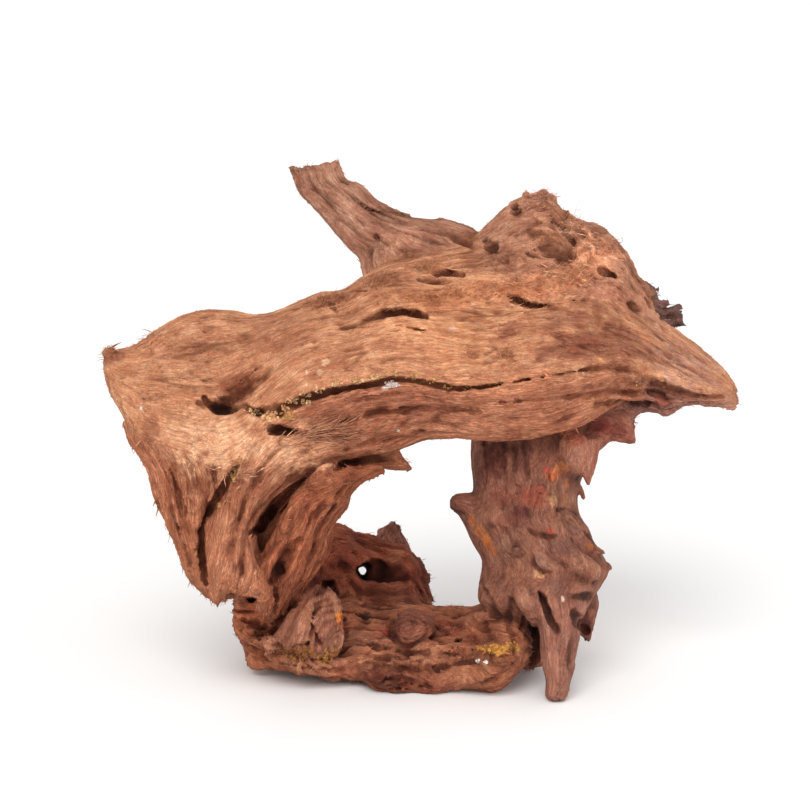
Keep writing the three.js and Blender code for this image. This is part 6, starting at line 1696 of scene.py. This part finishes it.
def grow(piece, names, slot, seed, count, base, spans, slim, curl, rise, spots_at=None, turn=0.0, **kw):
    rs = np.random.RandomState(seed)
    v, nn, way, col, own, fray, sunk = pool(names)
    _, ln = frayed(v)
    w = base + fray.astype(float) ** 1.3
    c1, c2 = cavity(v)
    w = w * np.clip(1.0 - 0.9 * c1, 0.12, 2.2) * np.where(sunk > 3, 0.25, 1)
    if spots_at is not None:  # only round these places
        near = np.zeros(len(v))
        for at, (x, h, r) in seen_at(spots_at):
            near = np.maximum(near, np.exp(-((v - at) ** 2).sum(1) / (r * r)))
        w = w * near
    pick = rs.choice(len(v), count, p=w / w.sum())
    sign = np.where(rs.rand(len(pick), 1) < 0.72, 1.0, -1.0) if turn == 0 else turn
    span = (spans[0] + (spans[1] - spans[0]) * rs.rand(len(pick), 1) ** 2.2) * (ln[pick, None] / 3.5)
    rad = slim[0] + (slim[1] - slim[0]) * rs.rand(len(pick), 1) ** 2
    V, tri, t, m = strands(v[pick], nn[pick], way[pick] * sign, span, rad, curl, rs, rise=rise, **kw)
    tri = closed_out(V - V.mean(0), tri)
    tone = 0.84 + 0.34 * rs.rand(len(pick), 1)
    # strands take the skin colour under them, with its painted shade and highlight
    c = np.repeat(np.clip(col[pick] * tone * np.array([1.0, 1.0, 0.98]) + 0.015, 0, 0.9), m, 0)
    g = np.repeat(own[pick], m, 0)
    g[:, 0] += (t * np.repeat(span, m, 0)[:, 0])
    V[:, 2] = np.maximum(V[:, 2], FLOOR + 0.1)
    lo, hi = np.array(CAD_BOX[0]) * 1000 - 6, np.array(CAD_BOX[1]) * 1000 + 6
    V = np.clip(V, lo, hi)
    z = np.zeros(len(V))
    o = make_object(piece, V, tri, c, g, z, z, z)
    o.data.materials.append(MATS[slot])
    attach(o, "root")
    log(piece, len(pick), "strands", len(tri), "triangles")


def ico():
    f = (1 + 5**0.5) / 2
    v = np.array([(-1, f, 0), (1, f, 0), (-1, -f, 0), (1, -f, 0), (0, -1, f), (0, 1, f), (0, -1, -f), (0, 1, -f), (f, 0, -1), (f, 0, 1), (-f, 0, -1), (-f, 0, 1)], float)
    t = np.array([(0, 11, 5), (0, 5, 1), (0, 1, 7), (0, 7, 10), (0, 10, 11), (1, 5, 9), (5, 11, 4), (11, 10, 2), (10, 7, 6), (7, 1, 8), (3, 9, 4), (3, 4, 2), (3, 2, 6), (3, 6, 8), (3, 8, 9), (4, 9, 5), (2, 4, 11), (6, 2, 10), (8, 6, 7), (9, 8, 1)])
    v = [tuple(p / np.linalg.norm(p)) for p in v]
    mid, out = {}, []

    def m(a, b):
        key = (min(a, b), max(a, b))
        if key not in mid:
            p = np.array(v[a]) + np.array(v[b])
            v.append(tuple(p / np.linalg.norm(p)))
            mid[key] = len(v) - 1
        return mid[key]

    for a, b, c in t:
        ab, bc, ca = m(a, b), m(b, c), m(c, a)
        out += [(a, ab, ca), (b, bc, ab), (c, ca, bc), (ab, bc, ca)]
    return np.array(v), np.array(out)


def crumbs(piece, rows, slot, seed):
    """Crumbly grains of rot and dried fungus in soft areas: rows (x, h, spread, number, size, colour, x stretch)."""
    rs = np.random.RandomState(seed)
    bv, bt = ico()
    VS, TS, CS = [], [], []
    k = 0
    for x, h, spread, number, size, colour, squash in rows:
        number = number
        ang, rad = rs.rand(number) * 6.283, spread * np.sqrt(rs.rand(number))
        xh = np.column_stack([x + rad * np.cos(ang) * squash, h + rad * np.sin(ang)])
        where, ok = hit(xh)
        for p in where[ok]:
            s = size * (0.45 + 0.9 * rs.rand() ** 1.5)
            b = bv * (1 + 0.38 * noise(bv * 1.7 + rs.rand(3) * 90, 5)[:, None]) * (0.6 + 0.8 * rs.rand(3))
            VS.append(p + b * s)
            TS.append(bt + k)
            CS.append(np.repeat((linear(colour) * (0.55 + 0.75 * rs.rand()))[None], len(bv), 0))
            k += len(bv)
    V, tri, c = np.concatenate(VS), np.concatenate(TS), np.concatenate(CS)
    V[:, 2] = np.maximum(V[:, 2], FLOOR + 0.1)
    z = np.zeros(len(V))
    o = make_object(piece, V, tri, c, V, z, z, z)
    o.data.materials.append(MATS[slot])
    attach(o, "root")
    log(piece, len(tri), "triangles")




# where bristles and curls stand: (x, h, radius)
BRISTLES = [
    (-67.8, -19.2, 4.2),
    (-58.2, -18.6, 4.8),
    (-47.4, -17.4, 4.8),
    (-37.2, -15, 4.2),
    (-100.2, -41.4, 3.6),
]
CURLS = [
    (15, 63, 5.4),
    (30, 67.2, 5.4),
    (45, 67.8, 6),
    (57, 67.8, 6),
    (69, 70.2, 6),
    (81, 72.6, 6),
    (91.8, 76.2, 7.2),
    (101.4, 79.8, 7.2),
    (93, 109.8, 4.8),
    (97.8, 105.6, 5.4),
    (103.2, 101.4, 4.8),
    (107.4, 95.4, 4.2),
    (117, 95.4, 6),
    (126.6, 95.4, 5.4),
    (133.8, 96.6, 4.2),
    (88.2, 114.6, 4.2),
    (-49.8, 61.2, 5.4),
    (-40.2, 63.6, 4.8),
    (-19.8, 72.6, 5.4),
    (-6, 78, 5.4),
    (12, 82.2, 4.8),
    (39, 30, 3.6),
    (60, 30, 4.2),
    (81, 123, 4.8),
    (73.8, 124.2, 3.6),
    (108, 72, 4.8),
]
# ------------------------------------------------------------------ materials
def wood_material(name, rough=0.85, grain=1.0, gloss=0.25, wool=0.15, crumb=0.3):
    m = bpy.data.materials.new(name)
    m.use_nodes = True
    nt = m.node_tree
    nt.nodes.clear()
    L = nt.links.new

    def node(t, **kw):
        n = nt.nodes.new(t)
        for k, v in kw.items():
            setattr(n, k, v)
        return n

    def math_(op, a, b=None, c=None, clamp=False):
        n = node("ShaderNodeMath", operation=op, use_clamp=clamp)
        for i, x in enumerate((a, b, c)):
            if x is None:
                continue
            if isinstance(x, (int, float)):
                n.inputs[i].default_value = x
            else:
                L(x, n.inputs[i])
        return n.outputs[0]

    def ramp(x, a, b, c, d, smooth=False):
        n = node("ShaderNodeMapRange")
        if smooth:
            n.interpolation_type = "SMOOTHSTEP"
        L(x, n.inputs["Value"])
        for key, val in (("From Min", a), ("From Max", b), ("To Min", c), ("To Max", d)):
            n.inputs[key].default_value = val
        return n.outputs["Result"]

    def attr(n):
        a = node("ShaderNodeAttribute", attribute_name=n)
        a.attribute_type = "GEOMETRY"
        return a

    g = attr("grain").outputs["Vector"]
    tint = attr("tint").outputs["Color"]
    fis = attr("fissure").outputs["Fac"]
    sunk = attr("sunk").outputs["Fac"]
    fray = math_("MAXIMUM", attr("fray").outputs["Fac"], wool)
    place = node("ShaderNodeTexCoord").outputs["Object"]

    def scaled(vec_, s):
        mp = node("ShaderNodeVectorMath", operation="MULTIPLY")
        L(vec_, mp.inputs[0])
        mp.inputs[1].default_value = s
        return mp.outputs[0]

    def tex(vec_, s, detail=3.0, dist=0.0, rough_=0.6):
        t = node("ShaderNodeTexNoise")
        t.noise_dimensions = "3D"
        L(scaled(vec_, s), t.inputs["Vector"])
        t.inputs["Scale"].default_value = 1.0
        t.inputs["Detail"].default_value = detail
        t.inputs["Roughness"].default_value = rough_
        t.inputs["Distortion"].default_value = dist
        return t.outputs["Fac"]

    s1 = tex(g, (0.030, 0.30, 0.30), 4.0, 0.8)  # broad bands along the grain
    s2 = tex(g, (0.085, 0.80, 0.80), 4.0, 0.5, 0.68)  # fibres
    s3 = tex(g, (0.20, 1.7, 1.7), 3.0, 0.3, 0.75)  # hair-fine fibres
    s4 = tex(place, (620.0, 620.0, 620.0), 3.0, 1.8, 0.72)  # woolly tangle where it is frayed
    s5 = tex(place, (150.0, 150.0, 150.0), 3.0, 0.4, 0.6)  # mottling
    s6 = tex(place, (420.0, 420.0, 420.0), 4.0, 1.2, 0.65)  # specks of rot
    s7 = tex(g, (0.045, 0.62, 0.62), 3.0, 0.6, 0.6)  # thin dark fibres
    thin = ramp(math_("ABSOLUTE", math_("SUBTRACT", s7, 0.5)), 0.0, 0.022, 1.0, 0.0, True)
    thin = math_("MULTIPLY", thin, ramp(s5, 0.42, 0.58, 0.15, 1.0, True))
    speck = ramp(s6, 0.55, 0.66, 0.0, 1.0, True)
    line = ramp(math_("ABSOLUTE", math_("SUBTRACT", s2, 0.5)), 0.0, 0.035, 1.0, 0.0, True)
    line = math_("MULTIPLY", line, ramp(s1, 0.45, 0.62, 0.1, 0.9, True))
    a = ramp(s1, 0.3, 0.7, 1 - 0.14 * grain, 1 + 0.14 * grain)
    b = ramp(s2, 0.3, 0.7, 1 - 0.46 * grain, 1 + 0.46 * grain)
    c = ramp(s3, 0.3, 0.7, 1 - 0.66 * grain, 1 + 0.66 * grain)
    d = ramp(s4, 0.3, 0.7, 0.42, 1.55)
    e = ramp(s5, 0.3, 0.7, 0.84, 1.16)
    straight = math_("MULTIPLY", math_("MULTIPLY", a, b), c)
    tangled = math_("MULTIPLY", math_("MULTIPLY", a, d), ramp(s2, 0.3, 0.7, 0.82, 1.18))
    mixv = node("ShaderNodeMix", data_type="FLOAT")
    L(math_("MULTIPLY", fray, 0.85), mixv.inputs["Factor"])
    L(straight, mixv.inputs["A"])
    L(tangled, mixv.inputs["B"])
    val = math_("MULTIPLY", mixv.outputs["Result"], e)
    val = math_("MULTIPLY", val, math_("MULTIPLY_ADD", line, -0.38 * grain, 1.0))
    # red in the dark fibres, straw in the light ones
    hue = node("ShaderNodeMix", data_type="RGBA")
    L(ramp(math_("ADD", s5, s2), 0.80, 1.20, 0.0, 1.0), hue.inputs["Factor"])
    hue.inputs["A"].default_value = (1.06, 0.91, 0.85, 1)
    hue.inputs["B"].default_value = (0.97, 1.05, 1.06, 1)
    tv = node("ShaderNodeVectorMath", operation="MULTIPLY")
    L(tint, tv.inputs[0])
    L(hue.outputs["Result"], tv.inputs[1])
    vm = node("ShaderNodeVectorMath", operation="SCALE")
    L(tv.outputs[0], vm.inputs[0])
    L(val, vm.inputs["Scale"])
    # dark and red in fissures; painted shade, dark and red, in deep hollows by how far the skin is sunk
    deep = math_("MULTIPLY", math_("SUBTRACT", sunk, 2.6), 0.15)
    dark = math_("MAXIMUM", math_("MULTIPLY", fis, 0.55), deep)
    dark = math_("MAXIMUM", dark, math_("MULTIPLY", thin, 0.42 * grain))
    dark = math_("MAXIMUM", dark, math_("MULTIPLY", speck, crumb))
    dark = math_("MINIMUM", math_("MAXIMUM", dark, 0.0), 0.85)
    dk = node("ShaderNodeVectorMath", operation="MULTIPLY")
    L(vm.outputs[0], dk.inputs[0])
    dk.inputs[1].default_value = (0.17, 0.095, 0.07)
    mix = node("ShaderNodeMix", data_type="RGBA")
    L(dark, mix.inputs["Factor"])
    L(vm.outputs[0], mix.inputs["A"])
    L(dk.outputs[0], mix.inputs["B"])
    bsdf = node("ShaderNodeBsdfPrincipled")
    L(mix.outputs["Result"], bsdf.inputs["Base Color"])
    bsdf.inputs["Specular IOR Level"].default_value = gloss
    L(ramp(s2, 0.3, 0.7, rough - 0.10, min(rough + 0.10, 1.0)), bsdf.inputs["Roughness"])
    hs = math_("ADD", math_("MULTIPLY", s2, 0.75), math_("MULTIPLY", s3, 0.50))
    hs = math_("SUBTRACT", hs, math_("MULTIPLY", line, 0.16))
    ht = math_("MULTIPLY", s4, 1.15)
    mh = node("ShaderNodeMix", data_type="FLOAT")
    L(math_("MULTIPLY", fray, 0.8), mh.inputs["Factor"])
    L(hs, mh.inputs["A"])
    L(ht, mh.inputs["B"])
    bump = node("ShaderNodeBump")
    bump.inputs["Strength"].default_value = 1.0
    bump.inputs["Distance"].default_value = 0.0013
    L(mh.outputs["Result"], bump.inputs["Height"])
    L(bump.outputs["Normal"], bsdf.inputs["Normal"])
    out = node("ShaderNodeOutputMaterial")
    L(bsdf.outputs[0], out.inputs[0])
    return m


MATS = {
    "crown_wood": wood_material("crown_wood", 0.9, 0.8, 0.2, 0.42, 0.25),
    "band_wood": wood_material("band_wood", 0.9, 1.0, 0.2, 0.2, 0.2),
    "column_wood": wood_material("column_wood", 0.80, 0.75, 0.3, 0.2, 0.4),
    "base_wood": wood_material("base_wood", 0.84, 0.85, 0.3, 0.3, 0.5),
    "burl_wood": wood_material("burl_wood", 0.84, 0.85, 0.3, 0.15, 0.4),
    "dark_bark": wood_material("dark_bark", 0.92, 1.0, 0.25, 0.3, 0.6),
}

SLOT = {s["node"]: s["material_slot"] for s in frame["record"]["subparts"]}
SKIN = {}
total = 0
for name, (v, q, nn) in PIECES.items():
    v2, col, own, fis, sunk, fray = build(name, v, q, nn)
    SKIN[name] = (v2, nn, col, own, fray, sunk)
    o = make_object("wood_" + name, v2, q, col, own, fis, sunk, fray)
    o.data.materials.append(MATS[SLOT[name]])
    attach(o, "root")
    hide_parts(name)
    total += len(q)
log("skinned", total, "quads")

grow("fibres_crown", ["crown_slab", "crown_burl"], "crown_wood", 11, 8900, 0.06, (0.9, 4.4), (0.12, 0.28), 0.30, 0.36)
grow("fibres_flank", ["front_band", "outer_wing", "inner_flank", "arch_spur"], "band_wood", 12, 7000, 0.10, (0.9, 4.0), (0.12, 0.28), 0.22, 0.22)
grow("fibres_rest", ["base_root", "base_burl", "rear_root", "rear_spur", "bark_sole", "beak_under", "back_branch", "rear_stub", "column_fin"], "base_wood", 13, 5000, 0.10, (1.0, 5.0), (0.14, 0.32), 0.25, 0.30)
grow("splinters_flank", ["front_band", "outer_wing", "inner_flank", "arch_spur"], "band_wood", 21, 420, 0.10, (3.5, 10.0), (0.35, 0.85), 0.06, 0.09, flat=0.45, rings=6, sides=6, sink=1.1)
grow("splinters_rest", ["crown_slab", "crown_burl", "base_root", "rear_root", "bark_sole", "beak_under", "rear_spur", "back_branch"], "crown_wood", 22, 520, 0.10, (3.5, 10.0), (0.4, 0.9), 0.07, 0.14, flat=0.45, rings=6, sides=6, sink=1.1)
grow("bristles", ["front_band", "crown_slab"], "band_wood", 23, 240, 0.3, (4.5, 12.0), (0.22, 0.42), 0.08, 0.30, spots_at=BRISTLES, turn=-1.0)
grow("curls_crown", ["crown_slab", "crown_burl"], "crown_wood", 24, 3000, 0.3, (2.0, 5.4), (0.20, 0.34), 0.7, 0.42, spots_at=CURLS)
crumbs("crumbs_shake", CRUMBS_SHAKE, "crown_wood", 31)
crumbs("crumbs_base", CRUMBS_BASE, "base_wood", 32)

# ------------------------------------------------------------------ stage
scene = bpy.context.scene
me = bpy.data.meshes.new("floor")
R = 60.0
me.from_pydata([(-R, -R, 0), (R, -R, 0), (R, R, 0), (-R, R, 0)], [], [(0, 1, 2, 3)])
floor = bpy.data.objects.new("floor", me)
scene.collection.objects.link(floor)
fm = bpy.data.materials.new("floor_paper")
fm.use_nodes = True
b = fm.node_tree.nodes["Principled BSDF"]
nz = fm.node_tree.nodes.new("ShaderNodeTexNoise")
nz.inputs["Scale"].default_value = 30
rp = fm.node_tree.nodes.new("ShaderNodeMapRange")
rp.inputs["To Min"].default_value = 0.93
rp.inputs["To Max"].default_value = 0.95
fm.node_tree.links.new(nz.outputs["Fac"], rp.inputs["Value"])
cc = fm.node_tree.nodes.new("ShaderNodeCombineColor")
for k in range(3):
    fm.node_tree.links.new(rp.outputs[0], cc.inputs[k])
fm.node_tree.links.new(cc.outputs[0], b.inputs["Base Color"])
b.inputs["Roughness"].default_value = 0.95
b.inputs["Specular IOR Level"].default_value = 0.1
me.materials.append(fm)

world = bpy.data.worlds.new("studio")
world.use_nodes = True
bg = world.node_tree.nodes["Background"]
bg.inputs["Color"].default_value = (1.0, 0.995, 0.99, 1)
bg.inputs["Strength"].default_value = 0.76
scene.world = world

sun = bpy.data.lights.new("key", "SUN")
sun.energy = 1.55
sun.angle = math.radians(38)
sun.color = (1.0, 0.985, 0.96)
so = bpy.data.objects.new("key", sun)
scene.collection.objects.link(so)
from mathutils import Vector

so.rotation_euler = Vector((0.22, 0.85, -1.0)).to_track_quat("-Z", "Y").to_euler()


def area(name, at, to, size, power, color=(1, 1, 1)):
    l = bpy.data.lights.new(name, "AREA")
    l.shape = "RECTANGLE"
    l.size, l.size_y = size
    l.energy = power
    l.color = color
    o = bpy.data.objects.new(name, l)
    scene.collection.objects.link(o)
    o.location = at
    o.rotation_euler = (Vector(to) - Vector(at)).to_track_quat("-Z", "Y").to_euler()
    return o


area("fill", (0.9, -1.2, 0.5), (0, 0, 0.12), (0.9, 0.9), 5)

cam = bpy.data.cameras.new("camera")
cam.sensor_width = 36
cam.lens = 36 * 1500 / 486
cam.clip_end = 200
co = bpy.data.objects.new("camera", cam)
scene.collection.objects.link(co)
co.location = tuple(EYE * 0.001)
co.rotation_euler = (math.radians(90 - 12), 0, 0)
scene.camera = co
scene.view_settings.view_transform = "Standard"
scene.view_settings.look = "None"

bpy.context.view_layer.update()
log("done")
